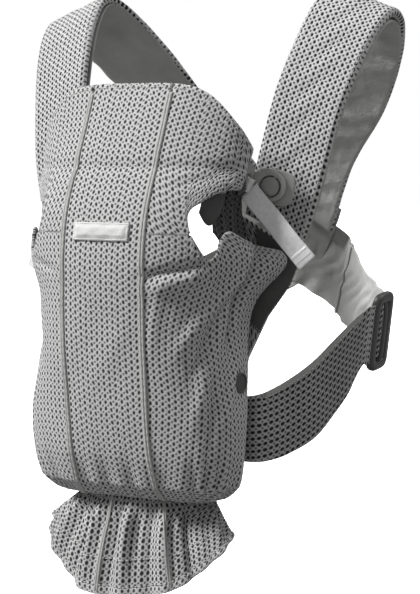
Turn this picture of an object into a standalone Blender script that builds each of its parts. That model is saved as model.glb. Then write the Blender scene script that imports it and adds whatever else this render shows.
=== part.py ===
"""Soft baby carrier: a front panel on a crossed harness, with clips, sliders and press studs.

The pieces are laid out in a frame with X to the wearer's left, Y from the baby's back towards the
wearer's back and Z up, with Z = 0 near the hem of the skirt.  The last step moves everything so that
the origin lies between the two shoulder straps, where the wearer's shoulders hold the carrier up.
"""

from math import cos, pi, radians, sin

import bmesh
import bpy
import numpy as np
from mathutils import Matrix, Vector

# ---- driving dimensions, in metres -------------------------------------------------------------
CONTACT_GAP = 0.0003        # gap between pieces that touch
SEWN_GAP = 0.0010           # gap between soft layers that are sewn together

PANEL_HALF_WIDTH = 0.1210   # widest half width of the front panel
PANEL_TOP = 0.4820          # height of the panel's top edge at its middle
PANEL_CORNER_DROP = 0.0600  # how far the top edge falls towards its corners
PANEL_THICKNESS = 0.0050    # spacer mesh of the front panel
PANEL_ROUNDNESS = 2.4       # exponent of the panel's rounded sections, 2 is an ellipse
SEAM_HALF_SPACING = 0.0440  # from the middle to each long seam
SEAM_WIDTH = 0.0050         # width of the cover strip on a seam
SEAM_THICKNESS = 0.0016
LINING_THICKNESS = 0.0012
LINING_GAP = 0.0022         # slack between the panel and its lining
FOLD_HEIGHT = 0.4000        # height of the head support's fold line
FOLD_GAP = 0.0016           # gap between the panel and the head support
FLOOR_BACK = 0.0930         # y of the floor's back edge
FLOOR_SAG = 0.0010          # how far the floor hangs below its edges
FLOOR_THICKNESS = 0.0030
HEAD_REACH = 70.0           # degrees that the head support reaches round on each side
ARM_HOLE_BOTTOM = 0.3120
ARM_HOLE_TOP = 0.3760

LABEL_WIDTH = 0.0600
LABEL_HEIGHT = 0.0160
LABEL_THICKNESS = 0.0020
LABEL_CENTRE_HEIGHT = 0.3430

STRAP_THICKNESS = 0.0100    # padded shoulder strap
STRAP_LINING_THICKNESS = 0.0012
BACK_STRAP_THICKNESS = 0.0020
SIDE_STRAP_THICKNESS = 0.0020
BINDING_WIDTH = 0.0060
BINDING_THICKNESS = 0.0012
BINDING_ROWS = slice(11, -4)    # rows of the side strap that its binding covers
INNER_PANEL_THICKNESS = 0.0040
FACING_THICKNESS = 0.0012

SKIRT_TOP = 0.0805
SKIRT_BOTTOM = -0.0150
SKIRT_THICKNESS = 0.0040
SKIRT_HALF_WIDTH = 0.1060
SKIRT_WAIST_HALF_WIDTH = 0.0740
SKIRT_REACH = 82.0          # degrees that the skirt reaches round on each side
SKIRT_FRONT = 0.0480        # y of the skirt's front at its waist
SKIRT_FLARE = 0.0180        # how far its hem comes forward
SKIRT_DEPTH = 0.0460        # how far its sides go back
SKIRT_CORNER_LIFT = 0.0480
SKIRT_WAIST_SHARE = 0.012   # share of the height left free under the pouch
HEM_HEIGHT = 0.0080

BUTTON_RADIUS = 0.0092
BUTTON_TRAVEL = 0.0025
BUTTON_FLOOR = 0.0008       # material left under the button's pocket
BUTTON_CLEARANCE = 0.0004   # between the button and its pocket
BUTTON_RISE = 0.0075        # from the foot of the button to the top of its dome
BASE_THICKNESS = 0.0040
BASE_RADIUS = 0.0175
PLATE_THICKNESS = 0.0040
PLATE_RADIUS = 0.0160
PLATE_HOLE_CLEARANCE = 0.0016
PLATE_FOOT = BASE_THICKNESS + 0.0005    # underside of the plate over the strap
ROUND_STEPS = 28            # steps round a turned piece
CLIP_TURN = 12.0            # degrees that the clip's face turns outwards
CLIP_CENTRE = (0.1240, 0.1090, 0.3840)

WEBBING_WIDTH = 0.0200
WEBBING_THICKNESS = 0.0014
PULL_TAB_LENGTH = 0.0840
LOCK_NEAR = 0.0194          # ladder lock, from the clip's axis inwards
LOCK_FAR = 0.0284
LOCK_HALF_WIDTH = 0.0140
LOCK_SLOT = (0.0222, 0.0256)    # ladder lock's slot, from the clip's axis inwards
LOCK_SLOT_HALF = 0.0105
TONGUE_NEAR = 0.0060        # plate's straight tongue, from the clip's axis inwards
TONGUE_FAR = 0.0190
TONGUE_HALF_WIDTH = 0.0120
TONGUE_STEP = 0.0004        # tongue's faces inside the plate's
CUT_PAST = 0.0020           # how far a cutting shape runs past the faces it cuts
BAND_OFFSET = 0.0322        # elastic band, from the clip's axis inwards
BAND_LENGTH = 0.0190
BAND_THICKNESS = 0.0016
BAND_WIDTH = 0.0170
TAB_ROOT = 0.0225           # pull tab's hinge line, from the clip's axis inwards
TAB_RISE = 0.0062           # pull tab's height over the base and plate
TAB_TURNS = {"left": -114.0, "right": -49.0}    # degrees that each tab hangs down at
TAB_HEEL = 0.0010           # length of the tab behind its hinge line

SLIDER_LENGTH = 0.0340      # along the strap
SLIDER_THICKNESS = 0.0080
SLIDER_RAIL = 0.0070        # width of the two rails beside the strap
SLIDER_BAR = 0.0060         # width of each cross bar
SLIDER_CHANNEL = 0.0032     # height of the channel that the strap runs in
SLIDER_STRAP_WIDTH = 0.0600 # width of the strap where it runs through
SLIDER_SIDE_CLEARANCE = 0.0010
SLIDER_CENTRE = (0.1790, 0.2300, 0.2400)
SLIDER_LEAN = 10.0          # degrees that the slider's top leans outwards
STRAP_RUN = 0.0190          # straight stretch of strap on each side of the slider
STRAP_END_GAP = 0.0020      # between the two strap ends under the slider's middle bar

SNAP_RADIUS = 0.0100
SNAP_CAP_HEIGHT = 0.0032
SNAP_STUD_RADIUS = 0.0070
SNAP_STUD_HEIGHT = 0.0020
SNAP_STAND_OFF = 0.0023     # between a stud's foot and the panel
SNAP_BACK_STEP = 0.0020     # how far the studs lie behind the section's middle
SNAP_HEIGHT = 0.2000

SHOULDER = (0.0, 0.2050, 0.5500)    # where the origin ends up

SIDES = {"left": -1.0, "right": 1.0}

# Front panel sections from bottom to top: height, half width as a share of the widest, y of the
# front, y of the section's middle, and how far round the section reaches, in degrees.
SECTIONS = np.array([
    (0.0860, 0.62, 0.0560, 0.0750, 80.0),
    (0.0900, 0.76, 0.0400, 0.0700, 96.0),
    (0.1020, 0.87, 0.0270, 0.0660, 116.0),
    (0.1300, 0.915, 0.0160, 0.0640, 124.0),
    (0.1650, 0.92, 0.0100, 0.0670, 120.0),
    (0.2000, 0.88, 0.0060, 0.0720, 110.0),
    (0.2400, 0.835, 0.0020, 0.0810, 102.0),
    (0.2800, 0.87, 0.0000, 0.0920, 96.0),
    (0.3200, 1.00, 0.0010, 0.1020, 90.0),
    (0.3600, 1.00, 0.0080, 0.1060, 78.0),
    (0.4000, 0.98, 0.0240, 0.1070, 70.0),
    (0.4400, 0.95, 0.0410, 0.1060, 70.0),
    (0.4850, 0.93, 0.0600, 0.1080, 70.0),
])

# Edges of the padded shoulder strap on the +X side, from the chest to the crossing at the back.
STRAP_INNER_EDGE = [
    (0.0890, 0.1215, 0.3580), (0.0970, 0.1240, 0.3930), (0.1040, 0.1290, 0.4300),
    (0.1100, 0.1440, 0.4770), (0.1180, 0.1650, 0.5200), (0.1240, 0.1880, 0.5540),
    (0.1270, 0.2140, 0.5720), (0.1180, 0.2420, 0.5600), (0.0930, 0.2720, 0.5200),
    (0.0700, 0.3040, 0.4720), (0.0380, 0.3400, 0.4120), (0.0040, 0.3680, 0.3600),
]
STRAP_OUTER_EDGE = [
    (0.1440, 0.1340, 0.3280), (0.1560, 0.1360, 0.3600), (0.1670, 0.1410, 0.4040),
    (0.1760, 0.1520, 0.4520), (0.1870, 0.1700, 0.4960), (0.1950, 0.1900, 0.5280),
    (0.1990, 0.2140, 0.5450), (0.1950, 0.2420, 0.5360), (0.1760, 0.2740, 0.5020),
    (0.1400, 0.3100, 0.4540), (0.0860, 0.3480, 0.3980), (0.0480, 0.3740, 0.3300),
]

# Edges of the smooth strap that starts on the -X shoulder and ends at the +X slider.
BACK_UPPER_EDGE = [
    (-0.0010, 0.3925, 0.3640), (0.0280, 0.3925, 0.3520), (0.0600, 0.3915, 0.3360),
    (0.1000, 0.3450, 0.3120), (0.1450, 0.2980, 0.2860),
]
BACK_LOWER_EDGE = [
    (-0.0460, 0.3925, 0.3210), (-0.0080, 0.3925, 0.2720), (0.0380, 0.3925, 0.2570),
    (0.0760, 0.3580, 0.2430), (0.1220, 0.3060, 0.2240),
]
BACK_CROSS_STEP = 0.0028    # how far each crossing strap is moved out of the other's way

# Edges of the side strap on the +X side, from the slider to the panel's lower corner.
SIDE_UPPER_EDGE = [
    (0.1640, 0.1780, 0.2440), (0.1450, 0.1600, 0.2180),
    (0.1260, 0.1400, 0.1980), (0.1110, 0.1240, 0.1870),
    (0.1000, 0.1150, 0.1830), (0.0840, 0.1160, 0.1815),
]
SIDE_LOWER_EDGE = [
    (0.1600, 0.1780, 0.1680), (0.1440, 0.1600, 0.1400),
    (0.1260, 0.1400, 0.1250), (0.1110, 0.1240, 0.1190),
    (0.1000, 0.1150, 0.1180), (0.0840, 0.1160, 0.1175),
]

# Wearer-side panel: height, half width, y at the middle and y at the edge.
INNER_SECTIONS = np.array([
    (0.1000, 0.0700, 0.1040, 0.1040),
    (0.1400, 0.0860, 0.1080, 0.1060),
    (0.1800, 0.0900, 0.1120, 0.1080),
    (0.2200, 0.0970, 0.1160, 0.1120),
    (0.2600, 0.1140, 0.1190, 0.1200),
    (0.2900, 0.1340, 0.1200, 0.1270),
    (0.3100, 0.1410, 0.1210, 0.1310),
])
NECKLINE_HEIGHT = 0.2650    # lowest point of the wearer-side panel's neckline
NECK_EDGE = (0.0800, 0.3420)    # where the neckline meets the shoulder strap's inner edge

COLOURS = {
    "mesh": (0.36, 0.36, 0.36, 0.90, 0.0),
    "satin": (0.22, 0.22, 0.215, 0.45, 0.0),
    "facing": (0.08, 0.08, 0.075, 0.70, 0.0),
    "webbing": (0.48, 0.48, 0.48, 0.75, 0.0),
    "label": (0.56, 0.56, 0.55, 0.60, 0.0),
    "plastic": (0.16, 0.16, 0.155, 0.45, 0.0),
    "dark_plastic": (0.10, 0.10, 0.098, 0.50, 0.0),
    "foam": (0.70, 0.70, 0.68, 0.95, 0.0),
    "steel": (0.55, 0.55, 0.56, 0.35, 1.0),
}


# ---- helpers -----------------------------------------------------------------------------------
def clear_scene():
    """Remove every object that the file starts with."""
    for item in list(bpy.data.objects):
        bpy.data.objects.remove(item, do_unlink=True)


def new_collection(name):
    """Make a collection in the scene."""
    group = bpy.data.collections.new(name)
    bpy.context.scene.collection.children.link(group)
    return group


def finish_named(kind):
    """Return the Principled material of one kind, made once."""
    existing = bpy.data.materials.get(kind)
    if existing is not None:
        return existing
    red, green, blue, roughness, metallic = COLOURS[kind]
    material = bpy.data.materials.new(kind)
    material.use_nodes = True
    shader = material.node_tree.nodes["Principled BSDF"]
    shader.inputs["Base Color"].default_value = (red, green, blue, 1.0)
    shader.inputs["Roughness"].default_value = roughness
    shader.inputs["Metallic"].default_value = metallic
    material.diffuse_color = (red, green, blue, 1.0)
    return material


def link_mesh(name, mesh, kind, group=None):
    """Put a mesh in the scene as a named object with a material."""
    item = bpy.data.objects.new(name, mesh)
    (group or PARTS).objects.link(item)
    if kind:
        mesh.materials.append(finish_named(kind))
    mesh.shade_smooth()
    mesh.set_sharp_from_angle(angle=radians(40.0))
    return item


def smooth_path(points, count):
    """Read count points from the smooth curve through the given points, evenly by station."""
    knots = np.asarray(points, float)
    before = 2.0 * knots[:1] - knots[1:2]
    after = 2.0 * knots[-1:] - knots[-2:-1]
    ring = np.vstack([before, knots, after])
    place = np.linspace(0.0, len(knots) - 1.0, count)
    span = np.minimum(place.astype(int), len(knots) - 2)
    t = (place - span)[:, None]
    p0, p1, p2, p3 = ring[span], ring[span + 1], ring[span + 2], ring[span + 3]
    bend = 2.0 * p0 - 5.0 * p1 + 4.0 * p2 - p3
    rest = 3.0 * p1 - p0 - 3.0 * p2 + p3
    return 0.5 * (2.0 * p1 + (p2 - p0) * t + bend * t ** 2 + rest * t ** 3)


def sheet(name, rows, thickness, kind, side=0.0):
    """Make a closed sheet from a grid of points, thickened by Solidify.

    rows is an array of rows x columns x 3; side is the Solidify offset.
    """
    grid = np.asarray(rows, float)
    tall, wide = grid.shape[:2]
    corner = np.arange(tall * wide).reshape(tall, wide)
    faces = np.stack([corner[:-1, :-1], corner[:-1, 1:], corner[1:, 1:], corner[1:, :-1]], axis=-1)
    mesh = bpy.data.meshes.new(name)
    mesh.from_pydata(grid.reshape(-1, 3).tolist(), [], faces.reshape(-1, 4).tolist())
    item = link_mesh(name, mesh, kind)
    shell = item.modifiers.new("thickness", "SOLIDIFY")
    shell.thickness = thickness
    shell.offset = side
    return item


def ribbon_rows(edge_a, edge_b, count, across=2):
    """Grid between two edge curves, with the given number of columns."""
    a = smooth_path(edge_a, count)
    b = smooth_path(edge_b, count)
    share = np.linspace(0.0, 1.0, across)[None, :, None]
    return a[:, None, :] * (1.0 - share) + b[:, None, :] * share


def mirrored(rows, side):
    """Turn a grid made for the +X side into the one for the given side."""
    grid = np.array(rows, float)
    if side < 0:
        grid[..., 0] *= -1.0
        grid = grid[:, ::-1]
    return grid


def normals_of(rows):
    """Unit normals of a grid of points."""
    down = np.gradient(rows, axis=0)
    along = np.gradient(rows, axis=1)
    flat = np.cross(along, down)
    return flat / np.linalg.norm(flat, axis=-1, keepdims=True)


def mirror_matrix(place, side):
    """Mirror a placement of the +X side across the middle plane for pieces that are symmetric."""
    if side > 0:
        return place
    flip = Matrix.Diagonal((-1.0, 1.0, 1.0, 1.0))
    return flip @ place @ flip


def frame_at(centre, along, up):
    """Placement whose X is along and whose Z is as near to up as it can be."""
    x_axis = Vector(along).normalized()
    z_axis = Vector(up)
    z_axis = (z_axis - x_axis * z_axis.dot(x_axis)).normalized()
    y_axis = z_axis.cross(x_axis)
    turn = Matrix((x_axis, y_axis, z_axis)).transposed().to_4x4()
    return Matrix.Translation(centre) @ turn


def box_mesh(name, low, high):
    """Mesh of a box between two corners."""
    shape = bmesh.new()
    bmesh.ops.create_cube(shape, size=1.0)
    size = [top - bottom for bottom, top in zip(low, high)]
    middle = [(top + bottom) / 2.0 for bottom, top in zip(low, high)]
    bmesh.ops.scale(shape, vec=size, verts=shape.verts)
    bmesh.ops.translate(shape, vec=middle, verts=shape.verts)
    mesh = bpy.data.meshes.new(name)
    shape.to_mesh(mesh)
    shape.free()
    return mesh


def turned_mesh(name, profile, steps=32):
    """Mesh of a profile of (radius, height) pairs turned round Z, from the axis back to the axis."""
    shape = bmesh.new()
    points = [shape.verts.new((radius, 0.0, height)) for radius, height in profile]
    edges = [shape.edges.new(pair) for pair in zip(points[:-1], points[1:])]
    bmesh.ops.spin(shape, geom=points + edges, cent=(0, 0, 0), axis=(0, 0, 1),
                   angle=2.0 * pi, steps=steps, use_merge=True, use_duplicate=False)
    bmesh.ops.remove_doubles(shape, verts=shape.verts, dist=0.00002)
    bmesh.ops.recalc_face_normals(shape, faces=shape.faces)
    mesh = bpy.data.meshes.new(name)
    shape.to_mesh(mesh)
    shape.free()
    return mesh


def cutter(name, mesh, place):
    """Keep a mesh as a cutting shape that is not part of the carrier."""
    item = link_mesh(name, mesh, None, CUTTERS)
    item.matrix_world = place
    item.hide_render = True
    item.display_type = "WIRE"
    return item


def cut(item, tool):
    """Take the cutter away from the item."""
    step = item.modifiers.new(tool.name, "BOOLEAN")
    step.operation = "DIFFERENCE"
    step.solver = "EXACT"
    step.object = tool


def round_edges(item, width, segments=2):
    """Round the edges of a hard piece."""
    step = item.modifiers.new("rounding", "BEVEL")
    step.width = width
    step.segments = segments
    step.limit_method = "ANGLE"
    step.angle_limit = radians(40.0)


# ---- front panel -------------------------------------------------------------------------------
def section_values(height):
    """Half width, front y, middle y and reach of the panel's section at each height."""
    table = SECTIONS
    place = np.interp(height, table[:, 0], np.arange(len(table)))
    knots = smooth_path(table[:, 1:], 12 * (len(table) - 1) + 1)
    station = place * 12.0
    values = [np.interp(station, np.arange(len(knots)), knots[:, k]) for k in range(4)]
    return values[0] * PANEL_HALF_WIDTH, values[1], values[2], np.radians(values[3])


def panel_points(angle, height, inset=0.0):
    """Points of the panel's outer face at the given turn and height, moved inwards by inset."""
    half, front, middle, _ = section_values(height)
    power = 2.0 / PANEL_ROUNDNESS
    across = np.sign(np.sin(angle)) * np.abs(np.sin(angle)) ** power
    depth = np.sign(np.cos(angle)) * np.abs(np.cos(angle)) ** power
    x = (half - inset) * across
    y = middle - (middle - front - inset) * depth
    return np.stack([x, y, np.broadcast_to(height, np.shape(x))], axis=-1)


def seam_angle(height, offset):
    """Turn at which the panel's face lies offset from its middle."""
    half = section_values(height)[0]
    return np.arcsin(np.minimum(1.0, (offset / half) ** (PANEL_ROUNDNESS / 2.0)))


def top_height(angle):
    """Height of the head support's top edge at each turn."""
    return PANEL_TOP - PANEL_CORNER_DROP * np.abs(np.sin(angle)) ** 3


def side_reach(height):
    """How far round the panel's side reaches, with the arm hole taken out."""
    reach = section_values(height)[3]
    middle = (ARM_HOLE_BOTTOM + ARM_HOLE_TOP) / 2.0
    span = (ARM_HOLE_TOP - ARM_HOLE_BOTTOM) / 2.0
    inside = np.clip(1.0 - np.abs((height - middle) / span) ** 3, 0.0, 1.0) ** 0.5
    return reach - inside * radians(46.0)


def centre_rows(heights, inset, edge):
    """Grid of the middle stretch of the panel between its seams."""
    limit = seam_angle(heights, edge)[:, None]
    angle = limit * np.linspace(-1.0, 1.0, 7)[None, :]
    return panel_points(angle, np.broadcast_to(heights[:, None], angle.shape), inset)


def panel_heights():
    """Heights of the front panel's rows, closer together where it curves."""
    low = [0.0860, 0.0905, 0.0985, 0.1120, 0.1300]
    high = np.linspace(0.1500, FOLD_HEIGHT, 14)
    return np.concatenate([low, high])


def build_floor():
    """Seat floor that closes the pouch between the panel's lowest edge and its hinge line."""
    height = SECTIONS[0, 0]
    limit = radians(SECTIONS[0, 4])
    edge = panel_points(limit * np.linspace(-1.0, 1.0, 15), np.full(15, height))
    rows = []
    for share in (1.0, 0.65, 0.3, 0.0):
        row = edge.copy()
        row[:, 0] *= 1.0 - 0.12 * share
        row[:, 1] += (FLOOR_BACK - edge[:, 1]) * share
        row[:, 2] -= FLOOR_SAG * sin(pi * share) + SEWN_GAP + FLOOR_THICKNESS / 2.0
        rows.append(row)
    sheet("seat_floor", np.array(rows), FLOOR_THICKNESS, "mesh")


def build_panel():
    """Middle and side gores, seam strips and lining of the front panel."""
    heights = panel_heights()
    edge = SEAM_HALF_SPACING - SEWN_GAP / 2.0
    sheet("front_panel_center", centre_rows(heights, 0.0, edge), PANEL_THICKNESS, "mesh", -1.0)
    for name, side in SIDES.items():
        start = seam_angle(heights, SEAM_HALF_SPACING + SEWN_GAP / 2.0)[:, None]
        stop = side_reach(heights)[:, None]
        angle = start + (stop - start) * np.linspace(0.0, 1.0, 12)[None, :]
        rows = panel_points(angle, np.broadcast_to(heights[:, None], angle.shape))
        sheet(f"front_panel_side_{name}", mirrored(rows, side), PANEL_THICKNESS, "mesh", -1.0)
    build_seams("seam_strip", heights[1:])
    inset = PANEL_THICKNESS + LINING_GAP
    rows = lining_rows(heights[5:], inset)
    sheet("front_lining", rows, LINING_THICKNESS, "satin", -1.0)


def lining_rows(heights, inset):
    """Grid of the smooth lining inside the panel."""
    stop = np.minimum(side_reach(heights), radians(84.0))[:, None] - 0.12
    angle = stop * np.linspace(-1.0, 1.0, 21)[None, :]
    return panel_points(angle, np.broadcast_to(heights[:, None], angle.shape), inset)


def build_seams(base, heights):
    """Narrow cover strips that lie over the two long seams."""
    for name, side in SIDES.items():
        first = seam_angle(heights, SEAM_HALF_SPACING - SEAM_WIDTH / 2.0)
        last = seam_angle(heights, SEAM_HALF_SPACING + SEAM_WIDTH / 2.0)
        angle = np.stack([first, (first + last) / 2.0, last], axis=1)
        high = np.broadcast_to(heights[:, None], angle.shape)
        rows = panel_points(angle, high, -SEWN_GAP - SEAM_THICKNESS)
        sheet(f"{base}_{name}", mirrored(rows, side), SEAM_THICKNESS, "mesh", -1.0)


def head_rows(angle_limit, columns, rows, inset, lift=0.0, trim=0.0):
    """Grid of the head support above the fold line."""
    angle = np.broadcast_to(np.linspace(-1.0, 1.0, columns)[None, :] * angle_limit, (rows, columns))
    base = FOLD_HEIGHT + FOLD_GAP + lift
    share = np.linspace(0.0, 1.0, rows)[:, None]
    height = base + (top_height(angle) - trim - base) * share
    return panel_points(angle, height, inset)


def build_head_support():
    """Head support that folds down over the panel, with its filling and seam strips."""
    reach = radians(HEAD_REACH)
    sheet("head_support", head_rows(reach, 21, 6, 0.0), PANEL_THICKNESS, "mesh", -1.0)
    inset = PANEL_THICKNESS + SEWN_GAP
    filling = head_rows(radians(50.0), 11, 4, inset, lift=0.006, trim=0.008)
    sheet("head_cushion", filling, 0.0060, "foam", -1.0)
    heights = np.linspace(FOLD_HEIGHT + FOLD_GAP, PANEL_TOP - 0.008, 6)
    build_seams("head_seam_strip", heights)


def build_label():
    """Blank patch sewn to the middle of the panel."""
    heights = np.linspace(LABEL_CENTRE_HEIGHT - LABEL_HEIGHT / 2, LABEL_CENTRE_HEIGHT + LABEL_HEIGHT / 2, 3)
    inset = -SEWN_GAP - LABEL_THICKNESS
    rows = centre_rows(heights, inset, LABEL_WIDTH / 2.0)
    sheet("label_patch", rows, LABEL_THICKNESS, "label", -1.0)


# ---- skirt -------------------------------------------------------------------------------------
def skirt_rows(first, last, rows):
    """Grid of the skirt between two shares of its height, 0 at its waist and 1 at its hem."""
    share = np.linspace(first, last, rows)[:, None]
    angle = radians(SKIRT_REACH) * np.linspace(-1.0, 1.0, 17)[None, :]
    half = SKIRT_WAIST_HALF_WIDTH + (SKIRT_HALF_WIDTH - SKIRT_WAIST_HALF_WIDTH) * share ** 0.8
    front = SKIRT_FRONT - SKIRT_FLARE * np.sin(share * pi / 2.0)
    x = half * np.sin(angle)
    y = front + SKIRT_DEPTH * (1.0 - np.cos(angle))
    corner_lift = SKIRT_CORNER_LIFT * np.sin(angle) ** 4 * share
    z = SKIRT_TOP - CONTACT_GAP - (SKIRT_TOP - SKIRT_BOTTOM) * share + corner_lift
    return np.stack([x, y, np.broadcast_to(z, x.shape)], axis=-1)[::-1]


def build_skirt():
    """Skirt below the pouch and its hem band."""
    hem_share = 1.0 - HEM_HEIGHT / (SKIRT_TOP - SKIRT_BOTTOM)
    sheet("skirt", skirt_rows(SKIRT_WAIST_SHARE, hem_share - 0.006, 6), SKIRT_THICKNESS, "mesh")
    sheet("skirt_hem", skirt_rows(hem_share, 1.0, 2), SKIRT_THICKNESS, "webbing")


# ---- harness -----------------------------------------------------------------------------------
def build_shoulder_straps():
    """Padded mesh straps with their smooth lining underneath."""
    for name, side in SIDES.items():
        rows = ribbon_rows(STRAP_INNER_EDGE, STRAP_OUTER_EDGE, 34, 4)
        outward = normals_of(rows)
        outward *= np.sign((outward * (rows - np.array((0.10, 0.26, 0.40)))).sum(-1, keepdims=True))
        mesh_rows = rows + outward * STRAP_THICKNESS / 2.0
        lining = rows - outward * (SEWN_GAP + STRAP_LINING_THICKNESS / 2.0)
        sheet(f"shoulder_strap_{name}", mirrored(mesh_rows, side), STRAP_THICKNESS, "mesh")
        sheet(f"strap_lining_{name}", mirrored(lining, side), STRAP_LINING_THICKNESS, "satin")


def slider_place(side):
    """Placement of a slider: X along the strap towards the front, Z up its long side, Y outwards."""
    lean = radians(SLIDER_LEAN)
    return mirror_matrix(frame_at(SLIDER_CENTRE, (0.0, -1.0, -0.12), (sin(lean), 0.0, cos(lean))), side)


def channel_edges(first, last):
    """Upper and lower edge points of a strap inside the slider, from first to last along it."""
    place = slider_place(1.0)
    half = SLIDER_STRAP_WIDTH / 2.0
    stations = np.linspace(first, last, 4)
    upper = [tuple(place @ Vector((at, 0.0, half))) for at in stations]
    lower = [tuple(place @ Vector((at, 0.0, -half))) for at in stations]
    return upper, lower


def build_back_straps():
    """Smooth straps that cross at the back and end under the sliders' middle bars."""
    reach = SLIDER_LENGTH / 2.0 + STRAP_RUN
    upper_end, lower_end = channel_edges(-reach, -STRAP_END_GAP / 2.0)
    for name, side in SIDES.items():
        rows = ribbon_rows(BACK_UPPER_EDGE + upper_end, BACK_LOWER_EDGE + lower_end, 28, 3)
        away = np.clip(1.9 - np.abs(rows[..., 0]) / 0.055, 0.0, 1.0)
        rows[..., 1] += BACK_CROSS_STEP * side * away
        # the strap that starts on one shoulder ends at the other side's slider
        sheet(f"back_strap_{name}", mirrored(rows, -side), BACK_STRAP_THICKNESS, "satin")


def build_side_straps():
    """Mesh straps from the sliders to the panel's lower corners, with a binding on the top edge."""
    reach = SLIDER_LENGTH / 2.0 + STRAP_RUN
    upper_end, lower_end = channel_edges(STRAP_END_GAP / 2.0, reach)
    upper = upper_end + SIDE_UPPER_EDGE
    lower = lower_end + SIDE_LOWER_EDGE
    for name, side in SIDES.items():
        rows = ribbon_rows(upper, lower, 26, 3)
        sheet(f"side_strap_{name}", mirrored(rows, side), SIDE_STRAP_THICKNESS, "mesh")
        band = rows[BINDING_ROWS, :2]
        outward = normals_of(rows)[BINDING_ROWS, :2]
        outward *= np.sign(outward[..., :1])
        down = band[:, 1] - band[:, 0]
        down /= np.linalg.norm(down, axis=-1, keepdims=True)
        lift = outward * (SIDE_STRAP_THICKNESS / 2 + CONTACT_GAP * 2 + BINDING_THICKNESS / 2)
        tape = np.stack([band[:, 0], band[:, 0] + down * BINDING_WIDTH], axis=1) + lift
        sheet(f"side_binding_{name}", mirrored(tape, side), BINDING_THICKNESS, "webbing")


def inner_values(height):
    """Half width and the two y values of the wearer-side panel at each height."""
    table = INNER_SECTIONS
    return [np.interp(height, table[:, 0], table[:, k]) for k in (1, 2, 3)]


def neckline(across):
    """Top height of the wearer-side panel at each share across it, 0 in the middle and 1 outside."""
    inner = NECK_EDGE[0] / INNER_SECTIONS[-1, 1]
    rise = np.clip(across / inner, 0.0, 1.0)
    curve = NECKLINE_HEIGHT + (NECK_EDGE[1] - NECKLINE_HEIGHT) * rise ** 3
    fall = np.clip((across - inner) / (1.0 - inner), 0.0, 1.0)
    return curve - (NECK_EDGE[1] - 0.0100 - INNER_SECTIONS[-1, 0]) * fall


def inner_rows(count, columns, low=0.0, high=1.0, first=-1.0, last=1.0):
    """Grid of the wearer-side panel between shares of its height and width."""
    across = np.linspace(first, last, columns)[None, :]
    share = np.linspace(low, high, count)[:, None]
    bottom = INNER_SECTIONS[0, 0]
    height = bottom + (neckline(np.abs(across)) - bottom) * share
    half, y_middle, y_edge = inner_values(height)
    x = half * across
    y = y_middle + (y_edge - y_middle) * np.abs(across) ** 2
    return np.stack([x, y, height], axis=-1)


def build_inner_panel():
    """Wearer-side panel, the binding of its neckline and the smooth facings of its side edges."""
    sheet("inner_panel", inner_rows(12, 17), INNER_PANEL_THICKNESS, "mesh")
    rows = inner_rows(2, 25, 0.985, 1.0, -0.56, 0.56)
    rows = rows - np.array((0.0, INNER_PANEL_THICKNESS / 2 + CONTACT_GAP * 2 + BINDING_THICKNESS / 2, 0.0))
    sheet("neckline_binding", rows, BINDING_THICKNESS, "facing")
    for name, side in SIDES.items():
        rows = inner_rows(6, 4, 0.66, 0.985, 0.74, 1.0)
        rows = rows - np.array((0.0, INNER_PANEL_THICKNESS / 2 + SEWN_GAP + FACING_THICKNESS / 2, 0.0))
        sheet(f"side_facing_{name}", mirrored(rows, side), FACING_THICKNESS, "facing")


# ---- clips -------------------------------------------------------------------------------------
def clip_place(side):
    """Placement of a clip: Z out of its face and X outwards along it."""
    turn = radians(CLIP_TURN)
    face = (sin(turn), -cos(turn), 0.047)
    return mirror_matrix(frame_at(CLIP_CENTRE, (cos(turn), sin(turn), 0.0), face), side)


def hard_part(name, mesh, place, kind):
    """Add a hard piece at its placement."""
    item = link_mesh(name, mesh, kind)
    item.matrix_world = place
    return item


def build_clips():
    """Base plate and press button on the strap, and the plate of the panel that goes over them."""
    foot = BASE_THICKNESS - (BASE_THICKNESS - BUTTON_FLOOR - BUTTON_TRAVEL) / 2.0
    pocket = BUTTON_RADIUS + BUTTON_CLEARANCE
    base = [(0.0, 0.0), (BASE_RADIUS, 0.0), (BASE_RADIUS, BASE_THICKNESS), (pocket, BASE_THICKNESS),
            (pocket, BUTTON_FLOOR), (0.0, BUTTON_FLOOR)]
    dome_start = foot + BUTTON_RISE * 0.62
    button = [(0.0, foot), (BUTTON_RADIUS, foot), (BUTTON_RADIUS, dome_start)]
    for step in range(1, 6):
        turn = step / 5 * pi / 2
        top = foot + BUTTON_RISE - dome_start
        button.append((BUTTON_RADIUS * cos(turn), dome_start + top * sin(turn)))
    button[-1] = (0.0, foot + BUTTON_RISE)
    for name, side in SIDES.items():
        place = clip_place(side)
        plate = turned_mesh(f"clip_base_{name}", base, ROUND_STEPS)
        hard_part(f"clip_base_{name}", plate, place, "plastic")
        dome = turned_mesh(f"press_button_{name}", button, ROUND_STEPS)
        hard_part(f"press_button_{name}", dome, place, "dark_plastic")
        build_clip_plate(name, side, place)


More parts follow.
